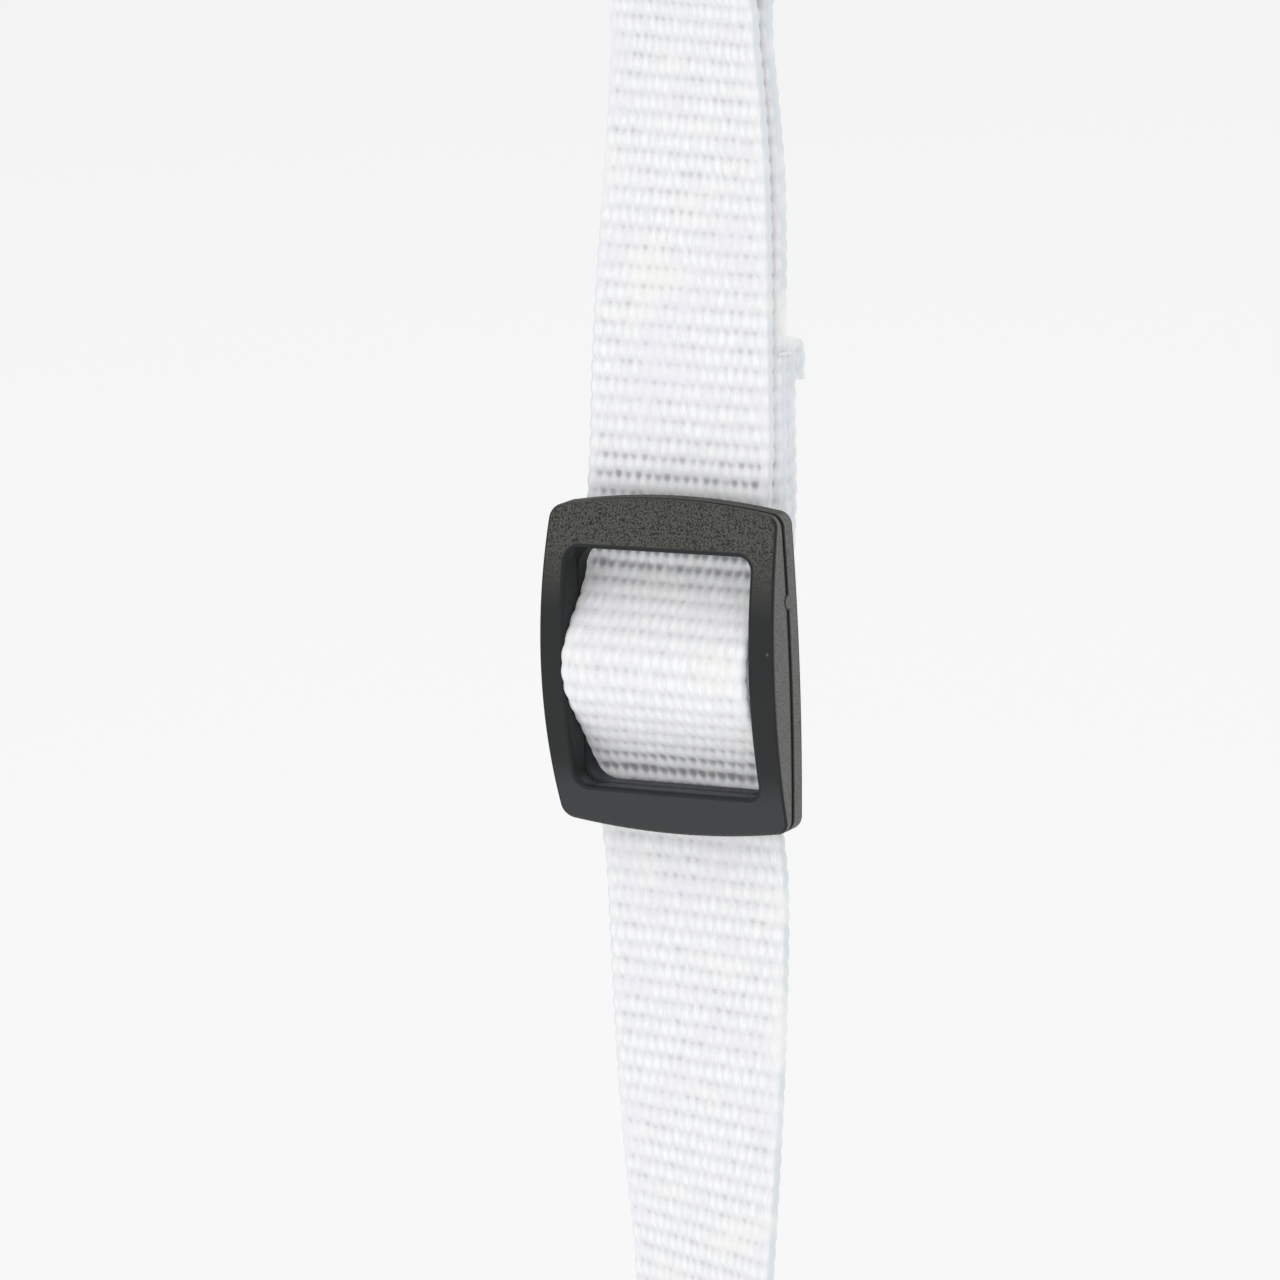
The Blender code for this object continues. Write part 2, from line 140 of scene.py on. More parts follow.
def even_steps(line: Points, step: float) -> tuple[Points, Points]:
    """Spread points evenly along a line.

    Args:
        line: Array (n, d) of points.
        step: Wanted distance between points.

    Returns:
        The new points, and the distance along the line at each of them.
    """
    lengths = np.concatenate([[0.0], np.cumsum(np.linalg.norm(np.diff(line, axis=0), axis=1))])
    count = max(int(round(lengths[-1] / step)), 2) + 1
    along = np.linspace(0.0, lengths[-1], count)
    spread = np.stack([np.interp(along, lengths, line[:, axis]) for axis in range(line.shape[1])], axis=1)
    return spread, along


def directions(route: Points) -> Points:
    """Unit tangents of a line of points, from central differences."""
    tangent = np.gradient(route, axis=0)
    return tangent / np.linalg.norm(tangent, axis=1)[:, None]


def grid_faces(rows: int, columns: int, closed_rows: bool) -> Points:
    """Quads of a grid of closed loops whose vertex (r, c) has index r * columns + c.

    Args:
        rows: Number of loops.
        columns: Number of vertices in each loop.
        closed_rows: Whether the last loop joins the first.

    Returns:
        Array (faces, 4) of vertex indices.
    """
    r = np.arange(rows if closed_rows else rows - 1)[:, None]
    c = np.arange(columns)[None, :]
    after_r, after_c = (r + 1) % rows, (c + 1) % columns
    corners = (r * columns + c, after_r * columns + c, after_r * columns + after_c, r * columns + after_c)
    return np.stack([np.broadcast_to(k, (r.size, c.size)).ravel() for k in corners], axis=1)


def signed_volume(points: Points, faces: Points) -> float:
    """Six times the enclosed volume: the sum over each quad's two triangles of a . (b x c)."""
    a, b, c, d = (points[faces[:, k]] for k in range(4))
    return float(np.einsum("ij,ij->", a, np.cross(b, c)) + np.einsum("ij,ij->", a, np.cross(c, d)))


@dataclass(frozen=True)
class Datum:
    """Where the slider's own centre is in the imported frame.

    Attributes:
        centre: Slider centre in metres.
    """

    centre: Vector

    @classmethod
    def from_frame(cls, seam_half_gap: float) -> "Datum":
        """Find the centre from the rear shell: mid-width, mid-height, and half a seam in front of it."""
        low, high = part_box("rear_frame")
        middle = (low + high) / 2
        return cls(Vector((middle.x, low.y - seam_half_gap * MM, middle.z)))

    def place(self, points: Points) -> Points:
        """Millimetres from the slider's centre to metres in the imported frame."""
        return np.asarray(points) * MM + np.array(self.centre)


@dataclass
class Surface:
    """A numpy surface of closed loops on its way to becoming a piece.

    Attributes:
        points: Array (rows, columns, 3) in millimetres from the slider's centre.
        closed_rows: Whether the last loop joins the first. If not, fans close the two end loops.
        uv: Array (rows, columns, 2), or None.
        marks: Named per-vertex values that the finish reads, each (rows, columns).
    """

    points: Points
    closed_rows: bool = False
    uv: Points | None = None
    marks: dict[str, Points] = field(default_factory=dict)

    def to_piece(self, name: str, datum: Datum, finish: bpy.types.Material) -> bpy.types.Object:
        """Make the mesh object.

        Args:
            name: The piece's name.
            datum: Place of the slider's centre.
            finish: Its material.

        Returns:
            The object, at the origin, with its place in its mesh and its faces outwards.
        """
        rows, columns = self.points.shape[:2]
        flat = datum.place(self.points.reshape(-1, 3))
        quads = grid_faces(rows, columns, self.closed_rows)
        if signed_volume(flat - flat.mean(axis=0), quads) < 0:
            quads = quads[:, ::-1]
        triangles = np.zeros((0, 3), int)
        extra = np.zeros(0, int)
        if not self.closed_rows:
            flat, triangles, extra = self._caps(flat, quads, rows, columns)
        mesh = bpy.data.meshes.new(name)
        self._fill(mesh, flat, quads, triangles)
        if self.uv is not None:
            self._write_uv(mesh, extra)
        for mark, values in self.marks.items():
            spread = np.concatenate([values.ravel(), values.ravel()[extra]]).astype(np.float32)
            mesh.attributes.new(mark, "FLOAT", "POINT").data.foreach_set("value", spread)
        piece = bpy.data.objects.new(name, mesh)
        bpy.context.scene.collection.objects.link(piece)
        mesh.materials.append(finish)
        return piece

    @staticmethod
    def _caps(flat: Points, quads: Points, rows: int, columns: int) -> tuple[Points, Points, Points]:
        """Close both end loops with a fan round the loop's mean point, turned to match the sides.

        Args:
            flat: The surface's vertices (n, 3).
            quads: Its side faces.
            rows: Number of loops.
            columns: Number of vertices in each loop.

        Returns:
            The vertices with the two hubs added, the fans' triangles, and the vertex that each hub
            takes its pattern and marks from.
        """
        turned = quads[0, 1] != columns
        ring = np.arange(columns)
        after = (ring + 1) % columns
        first_hub, last_hub = rows * columns, rows * columns + 1
        last = (rows - 1) * columns
        first_fan = np.stack([ring, after, np.full(columns, first_hub)], axis=1)
        last_fan = np.stack([after + last, ring + last, np.full(columns, last_hub)], axis=1)
        triangles = np.concatenate([first_fan, last_fan])
        if turned:
            triangles = triangles[:, ::-1]
        hubs = np.stack([flat[:columns].mean(axis=0), flat[last : last + columns].mean(axis=0)])
        return np.concatenate([flat, hubs]), triangles, np.array([0, last])

    @staticmethod
    def _fill(mesh: bpy.types.Mesh, flat: Points, quads: Points, triangles: Points) -> None:
        """Write vertices, quads and triangles into an empty mesh and shade it smooth."""
        corners = np.concatenate([quads.ravel(), triangles.ravel()])
        sizes = np.concatenate([np.full(len(quads), 4), np.full(len(triangles), 3)])
        mesh.vertices.add(len(flat))
        mesh.vertices.foreach_set("co", flat.astype(np.float32).ravel())
        mesh.loops.add(len(corners))
        mesh.loops.foreach_set("vertex_index", corners.astype(np.int32))
        mesh.polygons.add(len(sizes))
        mesh.polygons.foreach_set("loop_start", np.concatenate([[0], np.cumsum(sizes)[:-1]]).astype(np.int32))
        mesh.update(calc_edges=True)
        mesh.validate()
        mesh.shade_smooth()
        mesh.set_sharp_from_angle(angle=SHARP_FROM)

    def _write_uv(self, mesh: bpy.types.Mesh, extra: Points) -> None:
        """Give every face corner its vertex's pattern coordinates."""
        flat_uv = self.uv.reshape(-1, 2)
        flat_uv = np.concatenate([flat_uv, flat_uv[extra]])
        used = np.zeros(len(mesh.loops), np.int32)
        mesh.loops.foreach_get("vertex_index", used)
        mesh.uv_layers.new(name="pattern").data.foreach_set("uv", flat_uv[used].astype(np.float32).ravel())


# ---- shader writing --------------------------------------------------------------------
class Wire:
    """One shader value. Arithmetic on it adds Math nodes to its tree."""

    def __init__(self, desk: "FinishDesk", socket: bpy.types.NodeSocket) -> None:
        """Keep the tree's desk and the socket."""
        self.desk = desk
        self.socket = socket

    def _with(self, operation: str, first: "Wire | float", second: "Wire | float") -> "Wire":
        """One Math node on two values."""
        return self.desk.take("ShaderNodeMath", "Value", {"operation": operation}, {0: first, 1: second})

    def __add__(self, other: "Wire | float") -> "Wire":
        """Sum."""
        return self._with("ADD", self, other)

    def __sub__(self, other: "Wire | float") -> "Wire":
        """Difference."""
        return self._with("SUBTRACT", self, other)

    def __rsub__(self, other: float) -> "Wire":
        """Difference with the number first."""
        return self._with("SUBTRACT", other, self)

    def __mul__(self, other: "Wire | float") -> "Wire":
        """Product."""
        return self._with("MULTIPLY", self, other)

    __radd__ = __add__
    __rmul__ = __mul__

    def step_from(self, low: float, high: float) -> "Wire":
        """Smooth 0-to-1 step between two values."""
        settings = {"interpolation_type": "SMOOTHSTEP"}
        ends = {"Value": self, "From Min": low, "From Max": high}
        return self.desk.take("ShaderNodeMapRange", "Result", settings, ends)


class FinishDesk:
    """Builds one material's node tree."""

    def __init__(self, name: str) -> None:
        """Start a material with its Principled shader."""
        self.material = bpy.data.materials.new(name)
        self.material.use_nodes = True
        self.tree = self.material.node_tree
        self.shader = self.tree.nodes["Principled BSDF"]

    def node(self, kind: str, settings: dict, inputs: dict) -> bpy.types.Node:
        """Add one node.

        Args:
            kind: Node type name.
            settings: Properties set first, such as an operation.
            inputs: Socket name or number to a number, a colour or a Wire.

        Returns:
            The node.
        """
        added = self.tree.nodes.new(kind)
        for key, value in settings.items():
            setattr(added, key, value)
        for key, value in inputs.items():
            self._feed(added.inputs[key], value)
        return added

    def take(self, kind: str, output: str | int, settings: dict, inputs: dict) -> Wire:
        """Add one node and return one of its outputs."""
        return Wire(self, self.node(kind, settings, inputs).outputs[output])

    def _feed(self, socket: bpy.types.NodeSocket, value: "Wire | float | tuple") -> None:
        """Link a Wire, or set a plain value."""
        if isinstance(value, Wire):
            self.tree.links.new(value.socket, socket)
        else:
            socket.default_value = value

    def object_point(self) -> Wire:
        """The point in metres, which no piece moves or turns."""
        return self.take("ShaderNodeTexCoord", "Object", {}, {})

    def pattern_point(self) -> Wire:
        """The piece's own pattern coordinates."""
        return self.take("ShaderNodeUVMap", "UV", {"uv_map": "pattern"}, {})

    def mark(self, name: str) -> Wire:
        """A per-vertex value written by the piece."""
        return self.take("ShaderNodeAttribute", "Fac", {"attribute_name": name}, {})

    def noise(self, point: Wire, scale: float, detail: float = 2.0, roughness: float = 0.5) -> Wire:
        """Smooth noise of about 0 to 1."""
        inputs = {"Vector": point, "Scale": scale, "Detail": detail, "Roughness": roughness}
        return self.take("ShaderNodeTexNoise", "Fac", {}, inputs)

    def cells(self, point: Wire, scale: float, feature: str = "F1") -> Wire:
        """Distance in a random cell pattern."""
        inputs = {"Vector": point, "Scale": scale}
        return self.take("ShaderNodeTexVoronoi", "Distance", {"feature": feature}, inputs)

    def stretched(self, point: Wire, scale: tuple[float, float, float]) -> Wire:
        """The point with each axis scaled."""
        return self.take("ShaderNodeMapping", "Vector", {}, {"Vector": point, "Scale": scale})

    def blend(self, share: Wire, low: "Wire | Colour", high: "Wire | Colour") -> Wire:
        """Mix two colours by a share. The colour sockets of a Mix node are its inputs 6 and 7 and output 2."""
        settings = {"data_type": "RGBA", "clamp_factor": True}
        return self.take("ShaderNodeMix", 2, settings, {0: share, 6: low, 7: high})

    def bump(self, height: Wire, distance: float, strength: float = 1.0) -> Wire:
        """Normal of a height in units of distance, in metres."""
        inputs = {"Height": height, "Distance": distance, "Strength": strength}
        return self.take("ShaderNodeBump", "Normal", {}, inputs)

    def finish(self, **inputs: "Wire | float | tuple") -> bpy.types.Material:
        """Feed the Principled shader, underscores standing for spaces, and return the material."""
        for key, value in inputs.items():
            self._feed(self.shader.inputs[key.replace("_", " ")], value)
        return self.material


def grey(level: float) -> Colour:
    """A neutral colour."""
    return (level, level, level, 1.0)


@dataclass(frozen=True)
class MouldedPlastic:
    """Black moulded plastic with a pebbled grain, polished and painted with shade on the front, painted lighter
    on the side walls as if lit from the right.

    Attributes:
        fresh: Colour of fresh grain.
        shaded_polish: Colour where it is polished, with painted shade on the front face lower down, in the
            window, along the seam and on the rim.
        wall: Painted light on the side walls, as if lit from the right.
        pit: Painted shade in the grain's pits.
        cloud: Colour of slow clouds in the grain.
        painted_lower_light: Painted light reflected from below on the face's lower end, and light on the
            window's ledge.
        lint: Colour of caught lint.
        grain_per_metre: Grain cells per metre.
        grain_depth: Height of the grain in metres.
    """

    fresh: Colour = (0.098, 0.099, 0.086, 1.0)
    shaded_polish: Colour = (0.0115, 0.0135, 0.0145, 1.0)
    wall: Colour = (0.150, 0.152, 0.144, 1.0)
    pit: Colour = (0.008, 0.008, 0.006, 1.0)
    cloud: Colour = (0.09, 0.09, 0.085, 1.0)
    painted_lower_light: Colour = (0.085, 0.092, 0.100, 1.0)
    lint: Colour = grey(0.22)
    grain_per_metre: float = 6200.0
    grain_depth: float = 0.00006

    def dress(self) -> bpy.types.Material:
        """Pebbled cells and noise for the grain, less of both where polish is high, painted shade and light
        from the marks, and rare specks of lint.
        """
        desk = FinishDesk("moulded_plastic")
        point = desk.object_point()
        polish_and_shade = desk.mark("polish_and_shade")
        fresh = 1.0 - polish_and_shade * 0.85
        pebble = desk.cells(point, self.grain_per_metre, "SMOOTH_F1")
        fine = desk.noise(point, self.grain_per_metre * 1.7, 2.0, 0.6)
        grain = (pebble * 0.8 + fine * 0.5) * fresh
        clouds = desk.noise(point, 260.0, 3.0)
        # Painted shade: darker down the front face, in the window, along the seam and on the rim, where the
        # plastic is also polished.
        base = desk.blend(polish_and_shade, self.fresh, self.shaded_polish)
        # Painted light: the side walls lighter, as if lit from the right.
        base = desk.blend(desk.mark("wall"), base, self.wall)
        # Painted shade in the grain's pits, less on the side walls.
        pits = (pebble + fine * 0.9).step_from(0.66, 1.12)
        base = desk.blend(pits * fresh * (0.92 - desk.mark("wall") * 0.5), base, self.pit)
        base = desk.blend(clouds.step_from(0.35, 0.75) * 0.12 * fresh, base, self.cloud)
        # Painted light: bluish light from below on the face's lower end, and light on the window's
        # upward-facing ledge.
        base = desk.blend(desk.mark("edge") * (0.14 + fine * 0.54), base, self.painted_lower_light)
        specks = 1.0 - desk.cells(point, 330.0).step_from(0.035, 0.06)
        rare = desk.noise(point, 120.0, 0.0).step_from(0.60, 0.64)
        base = desk.blend(specks * rare * 0.3, base, self.lint)
        rough = 0.50 + fine * 0.16 + pebble * 0.10 - polish_and_shade * 0.10
        normal = desk.bump(grain, self.grain_depth)
        return desk.finish(Base_Color=base, Roughness=rough, Normal=normal, Specular_IOR_Level=0.26)


@dataclass(frozen=True)
class WhiteCloth:
    """Bright white multifilament webbing: satin floats, greyer dots of painted shade between them, faint warm
    and lilac patches.

    Attributes:
        white: Colour of the floats.
        soft: Colour of the cloth beside them, painted in soft shade.
        dot: Painted shade deep between floats.
        edge: Painted bluish shade on the selvedges, where the strap rounds over.
        lilac: Colour of the cool patches.
        cream: Colour of the warm patches.
        plain_glow: Colour of the painted glow that lifts the cloth's shade.
        lit_glow: Its colour where painted light comes through the cloth.
        glow: Strength of the painted glow.
    """

    white: Colour = (0.888, 0.888, 0.893, 1.0)
    soft: Colour = (0.742, 0.742, 0.757, 1.0)
    dot: Colour = (0.27, 0.27, 0.29, 1.0)
    edge: Colour = (0.600, 0.648, 0.680, 1.0)
    lilac: Colour = (0.775, 0.77, 0.835, 1.0)
    cream: Colour = (0.855, 0.85, 0.800, 1.0)
    plain_glow: Colour = (0.384, 0.388, 0.40, 1.0)
    lit_glow: Colour = (0.96, 0.97, 1.0, 1.0)
    glow: float = 0.20

    def dress(self) -> bpy.types.Material:
        """Colour from the relief mark, as painted highlights and shade, and slow patches, filaments as fine
        streaks along the strap, and a painted glow.
        """
        desk = FinishDesk("white_webbing")
        pattern = desk.pattern_point()
        relief = desk.mark("relief")
        place = desk.object_point()
        streak = desk.noise(desk.stretched(pattern, (150.0, 16.0, 1.0)), 1.0, 2.0, 0.65)
        # Painted highlight and shade: floats and their streaks white, the cloth beside them in soft shade.
        base = desk.blend((relief + streak * 0.9).step_from(0.84, 1.36), self.soft, self.white)
        # Painted shade: bluish grey where the strap rounds over at the selvedge.
        base = desk.blend(desk.mark("selvedge") * 0.95, base, self.edge)
        lilac = desk.noise(place, 170.0, 2.0).step_from(0.50, 0.68)
        cream = desk.noise(desk.stretched(place, (1.0, 1.0, 1.5)), 140.0, 2.0).step_from(0.54, 0.72)
        base = desk.blend(lilac * 0.55, base, self.lilac)
        base = desk.blend(cream * 0.50, base, self.cream)
        # Painted shade: grey dots where the relief is low, between the floats.
        base = desk.blend(1.0 - relief.step_from(-0.02, 0.48), base, self.dot)
        filaments = desk.noise(desk.stretched(pattern, (230.0, 20.0, 1.0)), 1.0, 2.0, 0.6)
        rough = 0.66 - streak.step_from(0.45, 0.75) * 0.22
        normal = desk.bump(filaments, 0.00008, 0.8)
        # Painted light: the cloth glows a little everywhere to lift its shade, and more where light would come
        # through beside a bar.
        through = desk.mark("backlit") * relief.step_from(0.30, 0.62)
        glow = desk.blend(through, self.plain_glow, self.lit_glow)
        return desk.finish(
            Base_Color=base, Roughness=rough, Normal=normal, Sheen_Weight=0.12, Sheen_Roughness=0.45,
            Specular_IOR_Level=0.4, Emission_Color=glow, Emission_Strength=self.glow,
        )


@dataclass(frozen=True)
class SewingThread:
    """White spun thread with a twist.

    Attributes:
        light: Colour of the plies.
        shade: Colour between them.
    """

    light: Colour = grey(0.88)
    shade: Colour = (0.70, 0.70, 0.71, 1.0)

    def dress(self) -> bpy.types.Material:
        """Twisted plies as slanting streaks in colour and bump."""
        desk = FinishDesk("sewing_thread")
        pattern = desk.stretched(desk.pattern_point(), (2.0, 1.0, 1.0))
        plies = desk.noise(pattern, 9.0, 2.0)
        base = desk.blend(plies.step_from(0.35, 0.65), self.shade, self.light)
        return desk.finish(Base_Color=base, Roughness=0.55 + plies * 0.2, Normal=desk.bump(plies, 0.00005))


@dataclass(frozen=True)
class PlatedMetal:
    """Metal with fine drawn or tumbled marks.

    Attributes:
        name: Material name.
        colour: Metal colour.
        roughness: Mean roughness.
        streak: Scale of the marks along X, Y and Z, per metre.
        cloud: Share of its brightness that is left in the slow clouds.
    """

    name: str
    colour: Colour
    roughness: float
    streak: tuple[float, float, float]
    cloud: float = 0.82

    def dress(self) -> bpy.types.Material:
        """Streaked noise in roughness and bump, and a slow cloud in colour."""
        desk = FinishDesk(self.name)
        point = desk.object_point()
        marks = desk.noise(desk.stretched(point, self.streak), 1.0, 3.0, 0.6)
        clouds = desk.noise(point, 220.0, 3.0)
        darker = tuple(self.cloud * c for c in self.colour[:3]) + (1.0,)
        base = desk.blend(clouds.step_from(0.2, 0.9) * 0.6, self.colour, darker)
        rough = self.roughness - 0.08 + marks * 0.16 + clouds * 0.05
        normal = desk.bump(marks, 0.00001, 0.5)
        return desk.finish(Base_Color=base, Metallic=1.0, Roughness=rough, Normal=normal)


@dataclass(frozen=True)
class StudioPaper:
    """Matt white floor paper.

    Attributes:
        light: Its lightest grey.
        dull: The grey of its slow clouds.
        far: Its grey far from the object, painted darker as if less lit.
        fade: Distances between which it turns to the far grey, in metres.
        glow: Strength of its own faint light.
    """

    light: float = 0.935
    dull: float = 0.925
    far: float = 0.885
    fade: tuple[float, float] = (3.0, 14.0)
    glow: float = 0.10

    def dress(self) -> bpy.types.Material:
        """A slow cloud, and painted light: the grey falls slightly with distance, as light falls off."""
        desk = FinishDesk("studio_paper")
        point = desk.object_point()
        clouds = desk.noise(point, 0.8, 2.0)
        away = desk.take("ShaderNodeVectorMath", "Value", {"operation": "LENGTH"}, {0: point})
        base = desk.blend(clouds, grey(self.dull), grey(self.light))
        # Painted light: darker with distance, as if less lit far away.
        base = desk.blend(away.step_from(*self.fade), base, grey(self.far))
        return desk.finish(
            Base_Color=base, Roughness=0.9, Specular_IOR_Level=0.1, Emission_Color=grey(1.0),
            Emission_Strength=self.glow,
        )


# ---- the slider's frame ----------------------------------------------------------------
@dataclass(frozen=True)
class Outline:
    """Rounded rectangle whose sides and ends bulge.

    Attributes:
        width: Overall width.
        height: Overall height.
        side_bow: How far the sides bulge at mid-height.
        end_bow: How far the ends bulge at mid-width.
        corner: Corner radius.
        centre_x: Sideways place of its centre.
        centre_z: Height of its centre.
    """

    width: float
    height: float
    side_bow: float
    end_bow: float
    corner: float
    centre_x: float = 0.0
    centre_z: float = 0.0

    def loop(self, side: int, round_: int) -> tuple[Points, Points]:
        """Walk the outline.

        A parabola-bowed core rectangle is swept outwards by the corner radius: each side is
        half_width - bow * t^2, and each corner an arc between the two sides' normals.

        Args:
            side: Steps in each half side.
            round_: Steps in each corner.

        Returns:
            Points (n, 2) and their outward unit normals (n, 2), anticlockwise from mid-right.
        """
        half_w, half_h = self.width / 2 - self.corner, self.height / 2 - self.corner
        end_w, end_h = half_w - self.side_bow, half_h - self.end_bow
        t = np.arange(side) / side
        side_angle = np.arctan(2 * self.side_bow * t / end_h)
        core = [np.stack([half_w - self.side_bow * t**2, end_h * t], axis=1)]
        angles = [side_angle]
        first = math.atan(2 * self.side_bow / end_h)
        last = math.pi / 2 - math.atan(2 * self.end_bow / end_w)
        sweep = first + (last - first) * np.arange(round_ + 1) / round_
        core.append(np.tile([end_w, end_h], (round_ + 1, 1)))
        angles.append(sweep)
        t = 1 - np.arange(1, side + 1) / side
        core.append(np.stack([end_w * t, half_h - self.end_bow * t**2], axis=1))
        angles.append(math.pi / 2 - np.arctan(2 * self.end_bow * t / end_w))
        core, angle = np.concatenate(core), np.concatenate(angles)
        normal = np.stack([np.cos(angle), np.sin(angle)], axis=1)
        place = np.array([self.centre_x, self.centre_z])
        return self._mirrored(core + self.corner * normal) + place, self._mirrored(normal)

    @staticmethod
    def _mirrored(quarter: Points) -> Points:
        """A whole loop from its first quarter, mirrored left and then down."""
        upper = np.concatenate([quarter, quarter[:-1][::-1] * np.array([-1.0, 1.0])])
        return np.concatenate([upper, upper[1:-1][::-1] * np.array([1.0, -1.0])])


@dataclass
class FrameShells:
    """The two moulded halves of the slider's frame, the tongue in their seam and the gate mark on it.

    Attributes:
        outer: Outline of the frame.
        window: Outline of the front half's window.
        rear_window: Outline of the rear half's window.
        tongue_outer: Outer outline of the tongue that stands in the seam.
        tongue_inner: Its inner outline.
        seam_half_gap: Half the gap between the halves.
        crown_depth: Depth of the front half at mid-height.
        end_depth: Depth of the front half at its ends.
        rear_depth: Depth of the rear half.
        crisp: Radius of the front half's outer front edge.
        soft: Radius of its window edge.
        seam_round: Radius of both halves' edges along the seam.
        rear_round: Radius of the rear half's edges.
        gate_z: Height of the gate mark.
        gate_radius: Radius of the gate mark.
        gate_rise: Height of its dome.
        gate_dimple: Depth of the dimple in its middle.
        gate_sink: How far it starts inside the wall.
        steps: Steps in each half side and in each corner of an outline.
    """

    outer: Outline = Outline(24.8, 32.1, 0.3, 0.85, 1.4)
    window: Outline = Outline(19.55, 22.9, 0.0, 0.0, 1.4, -0.09, -0.2)
    rear_window: Outline = Outline(19.9, 22.9, 0.0, 0.0, 2.6, 0.0, -0.2)
    tongue_outer: Outline = Outline(23.6, 30.9, 0.3, 0.85, 1.1)
    tongue_inner: Outline = Outline(23.0, 24.2, 0.0, 0.0, 2.8, 0.0, -0.2)
    seam_half_gap: float = 0.15
    crown_depth: float = 3.5
    end_depth: float = 0.5
    rear_depth: float = 2.1
    crisp: float = 0.16
    soft: float = 0.38
    seam_round: float = 0.12
    rear_round: float = 0.3
    gate_z: float = 6.9
    gate_radius: float = 0.66
    gate_rise: float = 0.18
    gate_dimple: float = 0.10
    gate_sink: float = 0.08
    steps: tuple[int, int] = (40, 14)

    def front_depth(self, z: Points) -> Points:
        """Depth of the arched face at a height: a circle through the crown and both ends."""
        rise = self.crown_depth - self.end_depth
        radius = ((self.outer.height / 2) ** 2 + rise**2) / (2 * rise)
        return self.crown_depth - radius + np.sqrt(radius**2 - z**2)

    def back_depth(self, z: Points) -> Points:
        """Depth of the flat rear face at a height."""
        return np.full_like(z, self.rear_depth)

    def section(
        self, near: float, depth_of: Callable[[Points], Points], window: Outline, outer_round: float,
        inner_round: float,
    ) -> Surface:
        """Sweep the wall's section round the frame.

        A station's section starts at the seam outside and runs up the outer wall, over a round
        edge, across the face, over the window's round edge, down the inner wall and back along the
        seam. A point is the outer outline moved inwards, or the window outline moved outwards, or a
        straight mix of the two, at a share of the depth that the face has at that point's height.

        Args:
            near: Depth of the seam side.
            depth_of: Function from height to the face's depth.
            window: Outline of this half's window.
            outer_round: Radius of the outer face edge.
            inner_round: Radius of the window edge.

        Returns:
            The closed surface, with marks for polished plastic with painted shade, for painted light below and
            for painted light on the side walls.
        """
        rim, rim_out = self.outer.loop(*self.steps)
        hole, hole_out = window.loop(*self.steps)
        seam = self.seam_round
        turn = np.linspace(0.0, math.pi / 2, 7)
        wall, face, back = np.linspace(0.12, 0.88, 6), np.linspace(0.04, 0.96, 22), np.linspace(0.9, 0.1, 6)
        # Each row: share across from rim (0) to hole (1), inset from that edge, rise of the seam's
        # round, rise of the face's round, share of the face's depth.
        steps = [(0.0, seam * (1 - math.sin(a)), seam * (1 - math.cos(a)), 0.0, 0.0) for a in turn]
        steps += [(0.0, 0.0, seam * (1 - w), -outer_round * w, w) for w in wall]
        steps += [
            (0.0, outer_round * (1 - math.cos(a)), 0.0, -outer_round * (1 - math.sin(a)), 1.0) for a in turn
        ]
        steps += [(f, outer_round * (1 - f) + inner_round * f, 0.0, 0.0, 1.0) for f in face]
        turn = turn[::-1]
        steps += [
            (1.0, inner_round * (1 - math.cos(a)), 0.0, -inner_round * (1 - math.sin(a)), 1.0) for a in turn
        ]
        steps += [(1.0, 0.0, seam * w, -inner_round * (1 - w), 1 - w) for w in wall]
        steps += [(1.0, seam * (1 - math.sin(a)), seam * (1 - math.cos(a)), 0.0, 0.0) for a in turn]
        steps += [(f, seam, 0.0, 0.0, 0.0) for f in back]
        across, inset, seam_rise, round_rise, share = (np.array(c)[None, :, None] for c in zip(*steps))
        from_rim = rim[:, None, :] - rim_out[:, None, :] * inset
        from_hole = hole[:, None, :] + hole_out[:, None, :] * inset
        plan = from_rim * (1 - across) + from_hole * across
        z = plan[..., 1]
        span = depth_of(z) - abs(near)
        depth = abs(near) + span * share[..., 0] + seam_rise[..., 0] + round_rise[..., 0]
        points = np.stack([plan[..., 0], math.copysign(1.0, near) * depth, z], axis=2)
        marks = self._marks(points, across[..., 0], share[..., 0], rim_out, hole_out)
        return Surface(points, closed_rows=True, marks=marks)

    def _marks(
        self, points: Points, across: Points, share: Points, rim_out: Points, hole_out: Points
    ) -> dict[str, Points]:
        """Where the plastic is polished and painted with shade, painted with light from below, and painted lit
        as side wall.

        Args:
            points: The section's points (stations, n, 3).
            across: Share from rim to window.
            share: Share of the face's depth.
            rim_out: Outward normals of the outline at the stations.
            hole_out: Outward normals of the window at the stations.

        Returns:
            polish_and_shade: polished, with painted shade: 1 on the window's wall and the seam's edge, growing
                down the face,
            and on the rim more at the sides. edge: painted light on the face's lower end and the window's lower
                ledge.
            wall: painted light on the outer wall at the sides.
        """
        shape = points.shape[:2]
        across, share = (np.broadcast_to(v, shape) for v in (across, share))
        sideways = smoothstep((np.abs(rim_out[:, :1]) - 0.25) / 0.5)
        ledge = smoothstep((-0.3 - hole_out[:, 1:]) / 0.5)
        z = points[..., 2]
        low = smoothstep((13.2 - z) / 8.5)
        pale = 0.7 * smoothstep((-8.5 - z) / 4.0)
        outside, window_wall = across < 0.01, across > 0.99
        on_face = (share > 0.99) * ~outside * ~window_wall
        rim = (share > 0.99) * outside
        wall = outside * (share > 0.01) * (share < 0.99)
        seam_edge = outside * (share < 0.01)
        # Painted shade on polished plastic: the window's walls, the seam's edge, the face lower down, and the
        # rim most at the sides.
        polish_and_shade = on_face * low + window_wall + seam_edge + rim * (0.25 + 0.75 * sideways)
        # Painted light: the face's lower end and the window's lower ledge, which faces up.
        edge = np.maximum(on_face * pale, window_wall * ledge * (share < 0.9))
